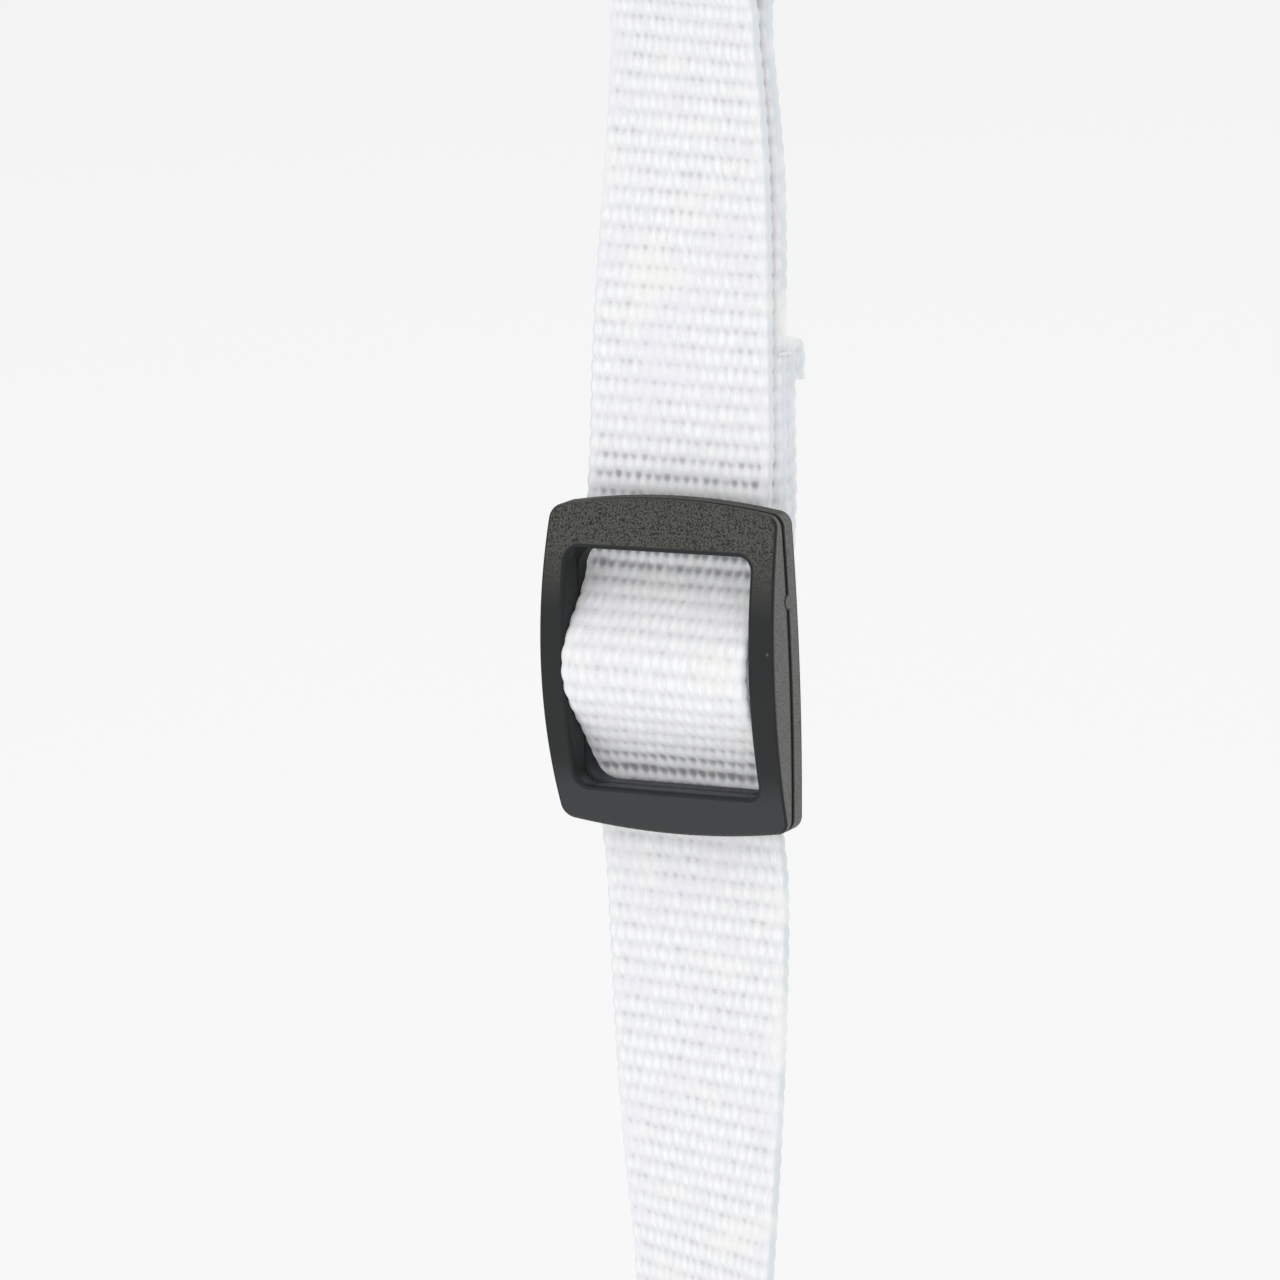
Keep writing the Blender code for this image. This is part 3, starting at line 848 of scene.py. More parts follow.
        # The wall mark is painted light on the outer wall, strongest where it faces sideways.
        return {"polish_and_shade": np.clip(polish_and_shade, 0.0, 1.0), "edge": edge, "wall": wall * sideways}

    def front(self) -> Surface:
        """The arched front half."""
        return self.section(-self.seam_half_gap, self.front_depth, self.window, self.crisp, self.soft)

    def rear(self) -> Surface:
        """The flat rear half."""
        return self.section(
            self.seam_half_gap, self.back_depth, self.rear_window, self.rear_round, self.rear_round
        )

    def tongue(self) -> Surface:
        """The low tongue on the rear half that closes the seam: a rectangle swept between two outlines."""
        rim, hole = (outline.loop(*self.steps)[0] for outline in (self.tongue_outer, self.tongue_inner))
        across = np.array([0.0, 0.0, 0.0, 1.0, 1.0, 1.0])[None, :, None]
        depth = np.array([0.2, 0.0, -0.12, -0.12, 0.0, 0.2])[None, :]
        plan = rim[:, None, :] * (1 - across) + hole[:, None, :] * across
        y = np.broadcast_to(depth, plan.shape[:2])
        points = np.stack([plan[..., 0], y, plan[..., 1]], axis=2)
        # Painted shade: the whole tongue takes the dark polished colour, as shade in the seam's gap.
        smooth_and_shaded, none = np.ones(y.shape), np.zeros(y.shape)
        return Surface(points, closed_rows=True, marks={"polish_and_shade": smooth_and_shaded, "edge": none, "wall": none})

    def gate(self) -> Surface:
        """The gate's low button, as rings of a dome with a dimple in its middle.

        A ring's radius is r sin(t), and it stands rise * cos(t)^0.6 less the dimple's bell of its
        radius off the wall.
        """
        tilt = np.linspace(math.pi / 2, 0.04, 14)[:, None]
        turn = np.linspace(0.0, TAU, 29)[None, :-1]
        radius = self.gate_radius * np.sin(tilt)
        side_x = self.outer.width / 2 - self.outer.side_bow * (self.gate_z / (self.outer.height / 2)) ** 2
        dimple = self.gate_dimple * bell(radius, 0.0, 0.35 * self.gate_radius)
        rise = self.gate_rise * np.cos(tilt) ** 0.6 - dimple
        x = side_x - self.gate_sink + rise + np.zeros_like(turn)
        points = np.stack([x, radius * np.cos(turn), self.gate_z + radius * np.sin(turn) * 1.15], axis=2)
        # Painted light on the dome, like the side walls, and painted shade round its rim.
        pale = smoothstep((self.gate_radius * 0.86 - radius) / 0.12) + np.zeros_like(turn)
        marks = {"polish_and_shade": 1 - pale, "edge": np.zeros(x.shape), "wall": pale}
        return Surface(points, marks=marks)

    def build(self, datum: Datum, plastic: bpy.types.Material) -> list[bpy.types.Object]:
        """Make the shells, the tongue and the gate mark, dressed and riding on the slider."""
        pieces = []
        for name, surface, node in (
            ("front_shell", self.front(), "front_frame"),
            ("rear_shell", self.rear(), "rear_frame"),
            ("seam_tongue", self.tongue(), None),
            ("gate_mark", self.gate(), None),
        ):
            piece = surface.to_piece(name, datum, plastic)
            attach(piece, Body.SLIDER.value)
            if node:
                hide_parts(node)
            pieces.append(piece)
        return pieces


# ---- webbing ---------------------------------------------------------------------------
@dataclass(frozen=True)
class StrapHang:
    """How the free strap turns and leans away from the slider with height.

    Attributes:
        start: Distance above or below the slider where the turn begins.
        end: Distance where it is complete.
        top_twist: Turn about Z at the top, in degrees.
        bottom_twist: Turn about Z at the bottom, in degrees.
        top_lean: Sideways and backward offset at the top.
        bottom_lean: The same at the bottom.
        power: How late the turn comes.
        axis_y: Depth of the line that the strap turns about.
    """

    start: float = 17.0
    end: float = 58.0
    top_twist: float = -18.0
    bottom_twist: float = -20.0
    top_lean: tuple[float, float] = (0.9, 2.4)
    bottom_lean: tuple[float, float] = (0.5, -2.2)
    power: float = 1.6
    axis_y: float = 4.1

    def lead(self, points: Points) -> Points:
        """Turn and lean points of the straight strap by their height.

        Args:
            points: Array (..., 3) in millimetres.

        Returns:
            The points turned about the strap's axis by twist * share^power and moved by
            lean * smoothstep(share), where share runs from start to end.
        """
        x, y, z = points[..., 0], points[..., 1] - self.axis_y, points[..., 2]
        share = np.clip((np.abs(z) - self.start) / (self.end - self.start), 0.0, 1.0)
        up = z > 0
        twist = np.radians(np.where(up, self.top_twist, self.bottom_twist)) * share**self.power
        lean = smoothstep(share)
        lean_x = np.where(up, self.top_lean[0], self.bottom_lean[0]) * lean
        lean_y = np.where(up, self.top_lean[1], self.bottom_lean[1]) * lean
        cos, sin = np.cos(twist), np.sin(twist)
        return np.stack([x * cos - y * sin + lean_x, x * sin + y * cos + self.axis_y + lean_y, z], axis=-1)


@dataclass(frozen=True)
class StrapRoute:
    """Centre lines of the webbing's lengths in the slider's YZ plane, before they turn and lean.

    Attributes:
        run_y: Depth of the passing layer's straight runs.
        arch_y: Depth of its crest over the bar.
        upper_reach: Height at which the arch ends above.
        lower_reach: Distance at which it ends below.
        pitch: Distance between layers.
        seam_z: Height where the upper and lower lengths of the passing layer meet, behind the frame.
        bar: Depth and height of the bar's axis.
        loop_radius: Radius of the webbing's middle round the bar.
        loop_top: Height at which the layers round the bar run straight.
        head_z: Height where the top turn begins.
        sewn_z: Height at which the back layer's two lengths meet, under the sewn tail.
        tail_z: Height of the tail's fold.
        tail_fold: Length that is folded down.
        top_ring_z: Height of the top ring's lower crossbar.
        bottom_ring_z: Height of the bottom ring's upper crossbar.
        bottom_tail_z: Height at which the bottom tail ends.
        ring_radius: Radius of the webbing's middle round a ring.
        foot_reach: Height above the bottom ring at which the bottom turn begins.
        head_pull: Pull of the curves into the top turn.
        pull: Pull of the other curves.
    """

    run_y: float = 3.25
    arch_y: float = -3.55
    upper_reach: float = 11.0
    lower_reach: float = 12.6
    pitch: float = 1.7
    seam_z: float = -13.8
    bar: tuple[float, float] = (0.2, 0.0)
    loop_radius: float = 2.15
    loop_top: float = 11.5
    head_z: float = 60.8
    sewn_z: float = 28.0
    tail_z: float = 29.1
    tail_fold: float = 2.6
    top_ring_z: float = 67.0
    bottom_ring_z: float = -81.0
    bottom_tail_z: float = -62.5
    ring_radius: float = 2.7
    foot_reach: float = 10.0
    head_pull: float = 5.0
    pull: float = 9.0

    @property
    def turn_y(self) -> float:
        """Depth of both rings' axes, midway between the first two layers."""
        return self.run_y + self.pitch / 2

    def layer_y(self, layer: int) -> float:
        """Depth of a layer's straight run, 0 being the passing layer."""
        return self.run_y + layer * self.pitch

    def passing_y(self, z: Points) -> Points:
        """Depth of the passing layer: a raised cosine over the bar, longer below than above."""
        reach = np.where(z > 0, self.upper_reach, self.lower_reach)
        rise = 0.5 * (1 + np.cos(math.pi * np.clip(np.abs(z) / reach, 0.0, 1.0)))
        return self.run_y - (self.run_y - self.arch_y) * rise

    def front(self) -> Points:
        """Passing layer, up from behind the frame's lower end, over the bar, to the front of the top ring."""
        z = np.linspace(self.seam_z, self.head_z, 700)
        line = np.stack([self.passing_y(z), z], axis=1)
        ring_front = (self.turn_y - self.ring_radius, self.top_ring_z)
        return np.concatenate([line, cubic(line[-1], (0, self.head_pull), ring_front, (0, self.head_pull), 60)])

    def back(self) -> Points:
        """Over the top ring and down the back to the sewn tail."""
        back_y, down = self.layer_y(1), (0, -self.head_pull)
        turn = arc((self.turn_y, self.top_ring_z), self.ring_radius, 180, 0, 80)
        lead = cubic(turn[-1], down, (back_y, self.head_z), down, 60)
        return np.concatenate([turn, lead, straight(lead[-1], (back_y, self.sewn_z), 100)])

    def sewn_loop(self) -> Points:
        """Down behind the passing layer, round the bar, up again and folded over at the tail."""
        front_y, tail_y = self.layer_y(1), self.layer_y(2)
        slant, firm = math.sqrt(0.5) * self.pull, 1.2 * self.pull
        wrap = arc(self.bar, self.loop_radius, 135, 315, 80)
        fold = arc((tail_y + self.pitch / 2, self.tail_z), self.pitch / 2, 180, 0, 30)
        top, low, high = (front_y, self.sewn_z), (front_y, self.loop_top), (tail_y, self.loop_top)
        return np.concatenate([
            np.array([top]),
            straight(top, low, 40),
            cubic(low, (0, -firm), wrap[0], (-slant, -slant), 60),
            wrap[1:],
            cubic(wrap[-1], (slant, slant), high, (0, firm), 60),
            straight(high, (tail_y, self.tail_z), 40),
            fold[1:],
            straight(fold[-1], (fold[-1][0], self.tail_z - self.tail_fold), 20),
        ])

    def lower(self) -> Points:
        """Down from behind the frame's lower end, round the bottom ring and up to its sewn end."""
        foot_z, back_y = self.bottom_ring_z + self.foot_reach, self.layer_y(1)
        down, up = (0, -self.pull), (0, self.pull)
        z = np.linspace(self.seam_z, foot_z, 500)
        line = np.stack([self.passing_y(z), z], axis=1)
        turn = arc((self.turn_y, self.bottom_ring_z), self.ring_radius, 180, 360, 80)
        ring_front, back = (self.turn_y - self.ring_radius, self.bottom_ring_z), (back_y, foot_z)
        return np.concatenate([
            line,
            cubic(line[-1], down, ring_front, down, 60),
            turn[1:],
            cubic(turn[-1], up, back, up, 60),
            straight(back, (back_y, self.bottom_tail_z), 30),
        ])


@dataclass(frozen=True)
class Weave:
    """Ribbed plain weave: rows of warp floats over thick weft cords, with a rope-like selvedge.

    Attributes:
        width: Width of the webbing.
        row: Distance between weft rows.
        floats: Floats in a row between the selvedges.
        selvedge: Width of each selvedge.
        core: Half thickness under the floats.
        relief: Height of the floats.
        scallop: How far the selvedge bulges at each row.
        skew: Slant of the rows across the strap, in degrees.
        middle_z: Height midway between the frame's two bars.
        bend: Distance from there at which the weave opens over a bar, and how far that reaches.
        upper_bend: Height of the bend above the frame, and how far it opens the weave.
        lit: Distance at which painted light comes through beside a bar, and how far.
        pattern_length: Length of strap for one unit of pattern.
    """

    width: float = 19.5
    row: float = 1.78
    floats: int = 17
    selvedge: float = 0.95
    core: float = 0.50
    relief: float = 0.24
    scallop: float = 0.16
    skew: float = 1.6
    middle_z: float = -0.2
    bend: tuple[float, float] = (10.4, 2.4)
    upper_bend: tuple[float, float] = (17.6, 2.2)
    lit: tuple[float, float] = (10.6, 2.6)
    pattern_length: float = 20.0

    def across(self, per_float: int) -> tuple[Points, Points]:
        """Sideways positions of a section's vertices, as a share of half the width, and their side.

        Args:
            per_float: Vertices to each float.

        Returns:
            Share from -1 to 1 going right along the front (side 1) and back along the rear (side -1).
        """
        flat = np.linspace(-0.965, 0.965, (self.floats + 2) * per_float)
        edge = 1 - 0.035 * (1 - np.sin(np.linspace(0.0, math.pi / 2, 6)[1:]))
        front = np.concatenate([-edge[::-1], flat, edge])
        rear = front[1:-1][::-1]
        side = np.concatenate([np.ones(len(front)), -np.ones(len(rear))])
        return np.concatenate([front, rear]), side

    def bumps(self, rows: Points, sideways: Points, side: Points, z: Points) -> tuple[Points, Points]:
        """Relief of the weave from 0 to 1, and how much of the selvedge there is.

        Each float is a long dome, exp(-(dr/reach)^2) cos(pi dg)^2, dr rows and dg floats from its
        middle; odd rows are shifted by half a float, and the rear face by half a float again. Between
        two rows runs a shallow groove, with a pit of exp(-(dr/0.30)^2 - (dg/0.44)^2) at each meeting
        of floats, deeper in some patches than in others, and deeper and longer where a bend opens the
        weave. The selvedge keeps two fifths of it all.

        Args:
            rows: Row coordinate at each point.
            sideways: Millimetres from the strap's middle.
            side: 1 on the front and -1 on the rear.
            z: Height, as the weave opens where the strap bends at the frame's bars.

        Returns:
            The relief, and how near the selvedge's outer edge each point is.
        """
        pitch = (self.width - 2 * self.selvedge) / self.floats
        inner = self.width / 2 - self.selvedge
        dome = np.zeros(rows.shape)
        rim = 0.6 * smoothstep((np.abs(sideways) - inner + 0.2) / 0.4) + dome
        # The selvedge mark: where the cloth is painted in bluish shade as it rounds over.
        outer = smoothstep((np.abs(sideways) - self.width / 2 + 0.42) / 0.30) + dome
        for near in (-1, 0, 1):
            row = np.floor(rows) + near
            column = sideways / pitch + 0.5 * np.mod(row + (side < 0), 2)
            cell = np.round(column)
            from_row = rows - row - 0.5 + 0.30 * (scatter(row, cell, 4.0) - 0.5)
            from_float = np.clip(column - cell + 0.16 * (scatter(row, cell, 6.0) - 0.5), -0.5, 0.5)
            size = 0.35 + 0.65 * scatter(row, cell, 2.0)
            reach = 0.34 + 0.14 * scatter(row, cell, 7.0)
            dome = np.maximum(dome, size * bell(from_row, 0.0, reach) * np.cos(math.pi * from_float) ** 2)
        seam = np.round(rows)
        from_seam = rows - seam
        column = sideways / pitch + 0.5 * np.mod(seam + (side < 0), 2)
        cell = np.round(column)
        opened = bell(np.abs(z - self.middle_z), *self.bend) + 0.6 * bell(z, *self.upper_bend)
        from_pit = (column - cell + 0.20 * (scatter(seam, cell, 1.0) - 0.5)) / (0.44 + 0.06 * opened)
        patch = 0.88 + 0.12 * np.sin(seam * 0.83 + 0.9) * np.sin(cell * 0.47 + seam * 0.31)
        depth = (0.44 + 0.24 * scatter(seam, cell, 5.0)) * patch + 0.95 * opened
        pit = depth * np.exp(-((from_seam / (0.30 + 0.10 * opened)) ** 2) - from_pit**2)
        groove = bell(from_seam, 0.0, 0.24)
        # The relief also sets the cloth's painted shade: grey dots where it is low, darkest at the deepened
        # pits near the bars.
        woven = np.clip(0.60 + 0.40 * dome - 0.12 * groove - 0.42 * pit, 0.0, 1.0)
        plain = 0.72 - 0.18 * groove
        return woven * (1 - rim) + plain * rim, outer

    def surface(
        self, line: Points, face: Face, start: float, hang: StrapHang, fineness: tuple[int, int],
        drift: Callable[[Points], Points],
    ) -> Surface:
        """Weave a length of webbing along a route.

        A point is the route's point, plus its sideways place along X, plus the half thickness
        along the route's normal: (core + relief * bumps) * (1 - |share|^22)^(1/2.2), rounded off
        at the selvedges. The whole is then turned and leaned as the strap hangs.

        Args:
            line: Route points (n, 2) as (y, z).
            face: Side of the route that the front face looks to.
            start: Distance along the whole strap at the route's first point.
            hang: How the strap turns and leans.
            fineness: Vertices per row and per float.
            drift: Function from height to the strap's sideways offset.

        Returns:
            The capped surface with its pattern coordinates and its relief, selvedge and backlit marks.
        """
        per_row, per_float = fineness
        route, along = even_steps(line, self.row / per_row)
        tangent = directions(route)
        normal = np.stack([-tangent[:, 1], tangent[:, 0]], axis=1) * face.value
        distance = start + along if face is Face.LEFT_OF_ROUTE else start - along
        share, side = self.across(per_float)
        share, side = share[None, :], side[None, :]
        sideways = share * self.width / 2
        rows = (distance[:, None] + sideways * math.tan(math.radians(self.skew))) / self.row
        height = route[:, 1:]
        bumps, rim = self.bumps(rows, sideways, side, height)
        rib = np.abs(np.cos(math.pi * (rows - np.floor(rows) - 0.5)))
        bulge = self.scallop * (rib - 0.6) * np.abs(share) ** 12
        thick = (self.core + self.relief * bumps) * (1 - np.abs(share) ** 22) ** (1 / 2.2)
        x = sideways + np.sign(share) * bulge + drift(height)
        y = route[:, :1] + normal[:, :1] * thick * side
        z = height + normal[:, 1:] * thick * side
        points = hang.lead(np.stack([x, y, z], axis=2))
        uv = np.stack(np.broadcast_arrays(share / 2 + 0.5, distance[:, None] / self.pattern_length), axis=2)
        # Painted light: where the front face glows beside a bar, as if light came through.
        backlit = bell(np.abs(height - self.middle_z), *self.lit) * (side > 0)
        return Surface(points, uv=uv, marks={"relief": bumps, "selvedge": rim, "backlit": backlit})


def passing_drift(z: Points) -> Points:
    """Sideways place of the passing layer: a little left inside the frame, and more behind its ends."""
    near = -0.24 * smoothstep((24.0 - np.abs(z)) / 12.0)
    return near - 0.34 * smoothstep((np.abs(z) - 5.5) / 3.5) * smoothstep((21.0 - np.abs(z)) / 7.0)


def back_drift(z: Points) -> Points:
    """Sideways place of the back layers: a little right between the slider and the head."""
    return 0.45 * smoothstep((z - 9.0) / 9.0) * smoothstep((56.0 - z) / 12.0)


@dataclass(frozen=True)
class Span:
    """Two bodies that a piece passes between, and the heights where it leaves one and reaches the other.

    Attributes:
        first: Body before the start; not used.
        last: Body after the end; not used.
        start: Height where the bend starts; not used.
        end: Height where it ends; not used.
    """

    first: Body
    last: Body
    start: float
    end: float

    def join(self, piece: bpy.types.Object, datum: Datum) -> None:
        """Bake the piece's place into its mesh."""
        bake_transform(piece)


@dataclass(frozen=True)
class StrapLength:
    """One length of the strap.

    Attributes:
        name: Piece name.
        line: Its route.
        start: Distance along the whole strap at the route's first point.
        nodes: CAD nodes that it stands for.
        wraps: Node that it lies on; not used.
        span: Bodies that it passes between.
        face: Side of the route that its front face looks to.
        fineness: Vertices per row and per float.
        drift: Function from height to its sideways offset.
    """

    name: str
    line: Points
    start: float
    nodes: tuple[str, ...]
    wraps: str
    span: Span
    face: Face = Face.LEFT_OF_ROUTE
    fineness: tuple[int, int] = (7, 5)
    drift: Callable[[Points], Points] = back_drift


@dataclass
class Webbing:
    """The whole strap as four lengths that meet end to end.

    Attributes:
        route: Its centre lines.
        weave: Its cloth.
        hang: How it turns and leans.
        head_span: How the upper strap passes from the top turn to the slider.
        feed_span: How the lower strap passes from the slider to the lower end.
    """

    route: StrapRoute = StrapRoute()
    weave: Weave = Weave()
    hang: StrapHang = StrapHang()
    head_span: Span = Span(Body.HEAD, Body.SLIDER, 59.0, 17.3)
    feed_span: Span = Span(Body.SLIDER, Body.LOWER_END, -14.5, -62.0)

    @staticmethod
    def length(line: Points) -> float:
        """Length of a route in millimetres."""
        return float(np.linalg.norm(np.diff(line, axis=0), axis=1).sum())

    def lengths(self) -> list[StrapLength]:
        """The four lengths, each taking up the pattern where its neighbour leaves it."""
        front, back = self.route.front(), self.route.back()
        loop, lower = self.route.sewn_loop(), self.route.lower()
        head = self.length(front)
        sewn = head + self.length(back)
        return [
            StrapLength(
                "strap_passing", front, 0.0, ("strap_over_bar", "strap_front_run"), "centre_bar",
                self.head_span, fineness=(8, 6), drift=passing_drift,
            ),
            StrapLength(
                "strap_back", back, head, ("strap_top_turn", "strap_back_run"), "top_ring", self.head_span
            ),
            StrapLength("strap_sewn_loop", loop, sewn, ("strap_bar_loop",), "centre_bar", self.head_span),
            StrapLength(
                "strap_lower", lower, 0.0, ("strap_lower_run", "strap_bottom_turn"), "bottom_ring",
                self.feed_span, face=Face.RIGHT_OF_ROUTE, fineness=(7, 6), drift=passing_drift,
            ),
        ]

    def build(self, datum: Datum, cloth: bpy.types.Material) -> list[bpy.types.Object]:
        pieces = []
        for part in self.lengths():
            surface = self.weave.surface(part.line, part.face, part.start, self.hang, part.fineness, part.drift)
            piece = surface.to_piece(part.name, datum, cloth)
            part.span.join(piece, datum)
            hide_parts(*part.nodes)
            pieces.append(piece)
        return pieces


@dataclass
class Stitching:
    """Rows of lock stitches that hold the two sewn ends.

    Attributes:
        thread_radius: Radius of the thread.
        pitch: Distance between needle holes.
        count: Stitches in a row.
        rise: How far a stitch bulges between its holes.
        tail_drops: Distances of the tail's rows below its fold.
        bottom_drops: Distances of the lower end's rows below where it ends.
    """

    thread_radius: float = 0.2
    pitch: float = 1.9
    count: int = 9
    rise: float = 0.16
    tail_drops: tuple[float, ...] = (0.7, 2.1)
    bottom_drops: tuple[float, ...] = (1.2, 3.0, 4.8)

    def thread(self, rows: list[float], y: float, hang: StrapHang, lead_in: Points | None = None) -> Surface:
        """Sweep a thread along its rows.

        Along a row the depth is y + rise * |sin(pi * stitches)|; at a row's end the thread steps to
        the next row and comes back. The section is a circle in the plane across the route.

        Args:
            rows: Heights of the rows.
            y: Depth of the needle holes.
            hang: How the strap turns and leans.
            lead_in: Points (n, 3) that the thread runs through before its first row.

        Returns:
            The closed tube.
        """
        half = self.pitch * self.count / 2
        legs = [] if lead_in is None else [lead_in]
        for index, z in enumerate(rows):
            x = np.linspace(half, -half, 16 * self.count + 1) * (1 if index % 2 == 0 else -1)
            depth = y + self.rise * np.abs(np.sin(math.pi * (x + half) / self.pitch))
            legs.append(np.stack([x, depth, np.full_like(x, z)], axis=1))
        route, along = even_steps(np.concatenate(legs), 0.8 * self.thread_radius)
        tangent = directions(route)
        out = np.array([0.0, 1.0, 0.0]) - tangent * tangent[:, 1:2]
        out /= np.linalg.norm(out, axis=1)[:, None]
        other = np.cross(tangent, out)
        turn = np.linspace(0.0, TAU, 11)[:-1]
        ring = out[:, None, :] * np.cos(turn)[None, :, None] + other[:, None, :] * np.sin(turn)[None, :, None]
        points = hang.lead(route[:, None, :] + self.thread_radius * ring)
        uv = np.stack(np.broadcast_arrays(turn[None, :] / TAU + along[:, None], along[:, None]), axis=2)
        return Surface(points, uv=uv)

    @staticmethod
    def lead_in(webbing: Webbing) -> Points:
        """Loop of loose thread round the strap's edge, beside the tail's fold."""
        edge_x = webbing.weave.width / 2 + 0.58
        near_y = webbing.route.layer_y(1)
        edge_z = webbing.route.tail_z + 0.2
        loop = [(-0.5, -0.75, 0.1), (-0.05, -0.45, 0.12), (0.0, 0.1, 0.1), (-0.05, 0.7, 0.0), (-0.5, 1.0, -0.1)]
        return np.array([(edge_x + x, near_y + y, edge_z + z) for x, y, z in loop])

    def build(self, datum: Datum, webbing: Webbing, twist: bpy.types.Material) -> list[bpy.types.Object]:
        """Sew the tail above the slider and the strap's lower end."""
        route, hang = webbing.route, webbing.hang
        half_thick = webbing.weave.core + webbing.weave.relief
        tail_rows = [route.tail_z - drop for drop in self.tail_drops]
        bottom_rows = [route.bottom_tail_z - drop for drop in self.bottom_drops]
        tail = self.thread(tail_rows, route.layer_y(3) + half_thick, hang, self.lead_in(webbing))
        bottom = self.thread(bottom_rows, route.layer_y(1) + half_thick, hang)
        tail_thread = tail.to_piece("tail_thread", datum, twist)
        webbing.head_span.join(tail_thread, datum)
        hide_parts("tail_stitches")
        bottom_thread = bottom.to_piece("bottom_thread", datum, twist)
        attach(bottom_thread, Body.LOWER_END.value)
        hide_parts("bottom_stitches")
        pieces = [tail_thread, bottom_thread]
        return pieces


# ---- rings and bar ---------------------------------------------------------------------
@dataclass
class EndRing:
    """A rectangular strap ring of rounded square section.

    Attributes:
        node: CAD node that it stands for.
        body: Body that it rides on.
        crossbar_z: Height of the crossbar that the strap turns round.
        slot_side: 1 if its slot lies above that crossbar, -1 if below.
        slot: Outline of the slot before it is placed.
        bar: Thickness of the bars.
    """

    node: str
    body: Body
    crossbar_z: float
    slot_side: int
    slot: Outline = Outline(22.0, 8.0, 0.0, 0.0, 0.7)
    bar: float = 2.8

    def surface(self, hang: StrapHang, axis_y: float) -> Surface:
        """Sweep a superellipse section, |u|^4 + |v|^4 = 1, round the slot's outline.

        Args:
            hang: How the strap turns and leans, which the ring follows.
            axis_y: Depth of its middle before that.

        Returns:
            The closed ring.
        """
        rim, outward = self.slot.loop(30, 12)
        angle = np.linspace(0.0, TAU, 49)[:-1]
        across = np.sign(np.cos(angle)) * np.abs(np.cos(angle)) ** 0.5
        depth = np.sign(np.sin(angle)) * np.abs(np.sin(angle)) ** 0.5
        reach = self.bar / 2 * (1 + across)
        plan = rim[:, None, :] + outward[:, None, :] * reach[None, :, None]
        middle = self.crossbar_z + self.slot_side * (self.slot.height + self.bar) / 2
        y = axis_y + np.broadcast_to(self.bar / 2 * depth, plan.shape[:2])
        points = np.stack([plan[..., 0], y, plan[..., 1] + middle], axis=2)
        return Surface(hang.lead(points), closed_rows=True)

    def build(self, datum: Datum, webbing: Webbing, metal: bpy.types.Material) -> bpy.types.Object:
        """Make the ring, dressed and riding on its body."""
        surface = self.surface(webbing.hang, webbing.route.turn_y)
        piece = surface.to_piece(self.node + "_loop", datum, metal)
        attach(piece, self.body.value)
        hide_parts(self.node)
        return piece


# ---- studio ----------------------------------------------------------------------------
@dataclass(frozen=True)
class SoftBox:
    """A square area light.

    Attributes:
        name: Light name.
        offset: Its place from the slider's centre, in metres.
        size: Its side in metres.
        power: Its power in watts.
        tint: Its colour.
    """

    name: str
    offset: tuple[float, float, float]
    size: float
    power: float
    tint: tuple[float, float, float]

    def hang(self, target: Vector) -> None:
        """Hang the light at its offset from the target and aim it there."""
        data = bpy.data.lights.new(self.name, "AREA")
        data.shape = "SQUARE"
        data.size = self.size
        data.energy = self.power
        data.color = self.tint
        light = bpy.data.objects.new(self.name, data)
        bpy.context.scene.collection.objects.link(light)
        light.location = Vector(self.offset) + target
        light.rotation_mode = "QUATERNION"
        light.rotation_quaternion = (target - light.location).to_track_quat("-Z", "Y")


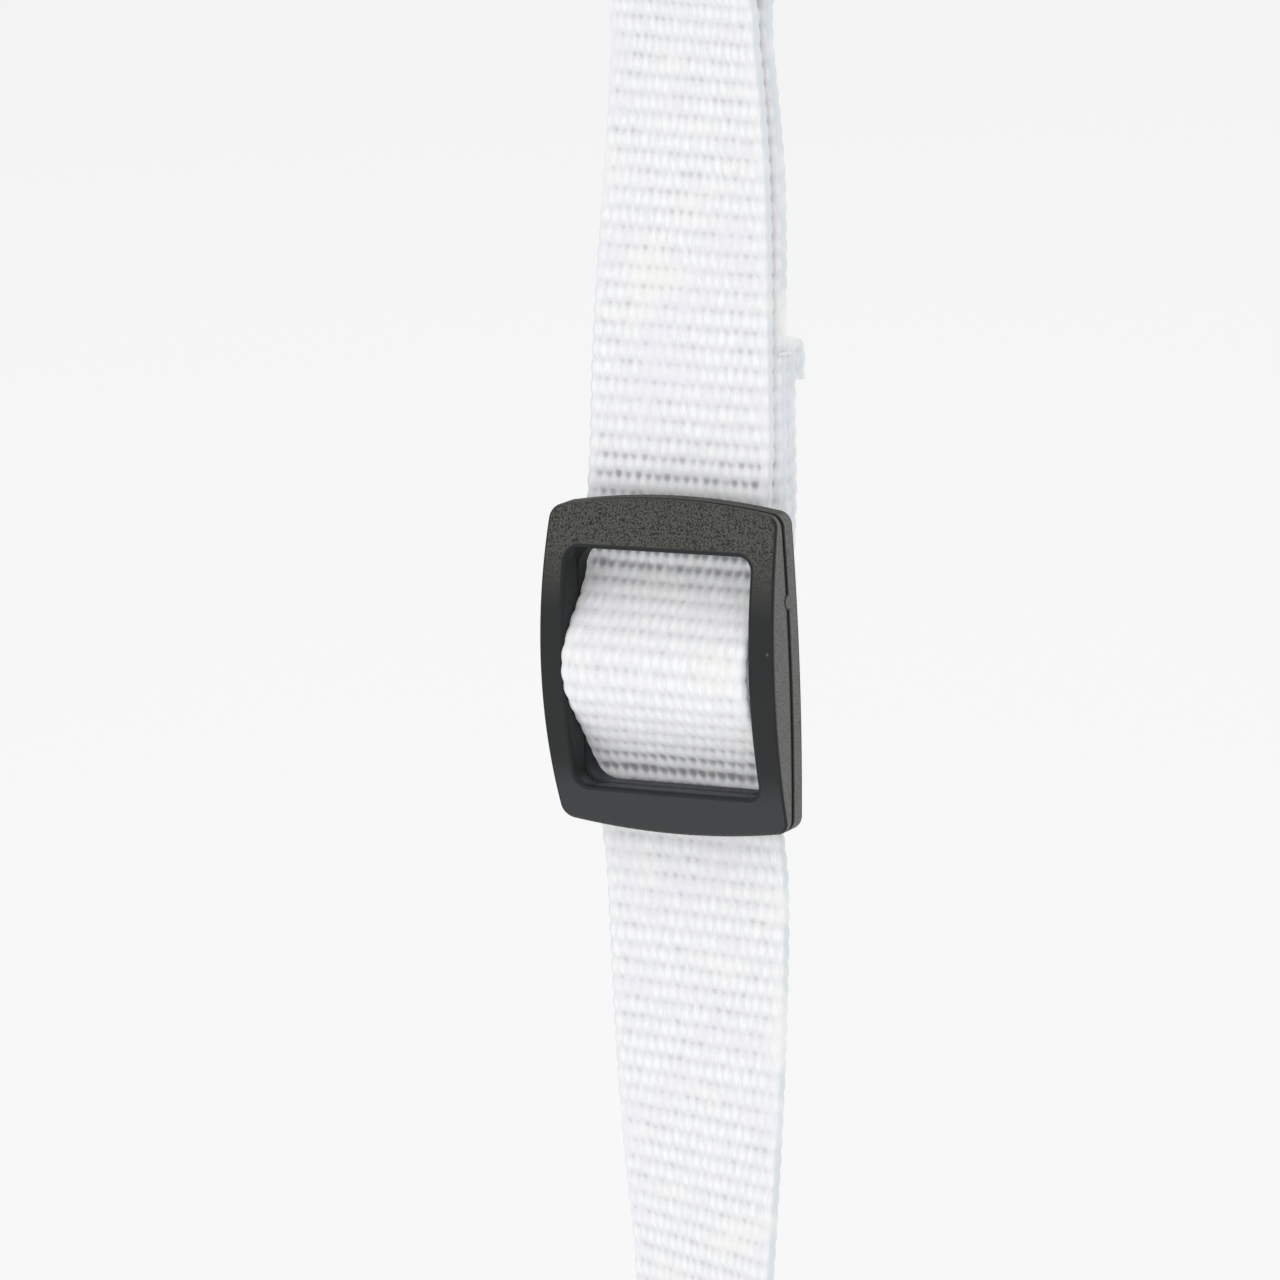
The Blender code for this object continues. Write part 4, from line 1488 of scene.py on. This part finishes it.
@dataclass
class Studio:
    """Pale floor, soft lights and the camera.

    Attributes:
        azimuth: Camera's turn to the slider's +X side, in degrees.
        elevation: Its height above the slider, in degrees.
        roll: Its roll, in degrees.
        distance: Its distance in metres.
        view_angle: Its view angle in degrees.
        aim_right: How far right of the slider's centre it aims, in millimetres.
        aim_up: How far above it aims, in millimetres.
        floor_drop: Depth of the floor below the origin, in metres.
        floor_reach: Half its side, in metres.
        surround: Colour of the light from all round.
        surround_strength: Its strength.
        key: Large light above right.
        fill: Weak light from the front left, below.
    """

    azimuth: float = 29.04
    elevation: float = 11.15
    roll: float = -2.25
    distance: float = 0.5566
    view_angle: float = 12.33
    aim_right: float = -3.13
    aim_up: float = 2.53
    floor_drop: float = 1.2
    floor_reach: float = 60.0
    surround: Colour = (0.995, 1.0, 1.0, 1.0)
    surround_strength: float = 0.90
    key: SoftBox = SoftBox("key", (0.9, -0.5, 0.9), 0.7, 2.2, (1.0, 0.985, 0.96))
    fill: SoftBox = SoftBox("fill", (-0.6, -0.9, -0.35), 0.9, 1.6, (0.95, 0.97, 1.0))

    def camera(self, datum: Datum) -> None:
        """Stand the camera at its place and aim it."""
        a, e = math.radians(self.azimuth), math.radians(self.elevation)
        back = Vector((math.sin(a) * math.cos(e), -math.cos(a) * math.cos(e), math.sin(e)))
        right = Vector((math.cos(a), math.sin(a), 0.0))
        up = back.cross(right)
        turn = Matrix((right, up, back)).transposed() @ Matrix.Rotation(math.radians(self.roll), 3, "Z")
        shift = turn @ Vector((self.aim_right, self.aim_up, 0.0)) * MM
        data = bpy.data.cameras.new("camera")
        data.angle = math.radians(self.view_angle)
        data.clip_start, data.clip_end = 0.01, 200.0
        camera = bpy.data.objects.new("camera", data)
        bpy.context.scene.collection.objects.link(camera)
        camera.matrix_world = Matrix.Translation(datum.centre + back * self.distance + shift) @ turn.to_4x4()
        bpy.context.scene.camera = camera

    def floor(self, paper: bpy.types.Material) -> None:
        """Lay a wide floor far enough below that the strap hangs clear of it."""
        corners = [(-1, -1), (1, -1), (1, 1), (-1, 1)]
        points = [(x * self.floor_reach, y * self.floor_reach, -self.floor_drop) for x, y in corners]
        mesh = bpy.data.meshes.new("floor")
        mesh.from_pydata(points, [], [(0, 1, 2, 3)])
        mesh.materials.append(paper)
        floor = bpy.data.objects.new("floor", mesh)
        bpy.context.scene.collection.objects.link(floor)

    def lights(self, datum: Datum) -> None:
        """White surround with the key and the fill."""
        world = bpy.data.worlds.new("surround")
        world.use_nodes = True
        background = world.node_tree.nodes["Background"]
        background.inputs["Color"].default_value = self.surround
        background.inputs["Strength"].default_value = self.surround_strength
        bpy.context.scene.world = world
        for light in (self.key, self.fill):
            light.hang(datum.centre)

    def build(self, datum: Datum, paper: bpy.types.Material) -> None:
        """Set up the whole studio."""
        self.camera(datum)
        self.floor(paper)
        self.lights(datum)
        bpy.context.scene.view_settings.view_transform = "Standard"


def main() -> None:
    """Build every sub-assembly in order and report each piece."""
    logging.basicConfig(level=logging.INFO, format="%(name)s: %(message)s")
    shells = FrameShells()
    datum = Datum.from_frame(shells.seam_half_gap)
    Studio().build(datum, StudioPaper().dress())
    webbing = Webbing()
    route = webbing.route
    nickel = PlatedMetal("nickel_plate", (0.66, 0.65, 0.63, 1.0), 0.24, (900.0, 900.0, 900.0)).dress()
    steel = PlatedMetal("drawn_steel", (0.42, 0.42, 0.43, 1.0), 0.36, (120.0, 5200.0, 5200.0)).dress()
    twist = SewingThread().dress()
    pieces = shells.build(datum, MouldedPlastic().dress())
    pieces += webbing.build(datum, WhiteCloth().dress())
    pieces += Stitching().build(datum, webbing, twist)
    for ring in (
        EndRing("top_ring", Body.ANCHOR, route.top_ring_z, 1),
        EndRing("bottom_ring", Body.LOWER_RING, route.bottom_ring_z, -1),
    ):
        pieces.append(ring.build(datum, webbing, nickel))
    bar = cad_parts["centre_bar"]
    bar.data.materials.clear()
    bar.data.materials.append(steel)
    for piece in pieces + [bar]:
        LOG.info("%s: %d faces", piece.name, len(piece.data.polygons))


if __name__ == "__main__":
    main()
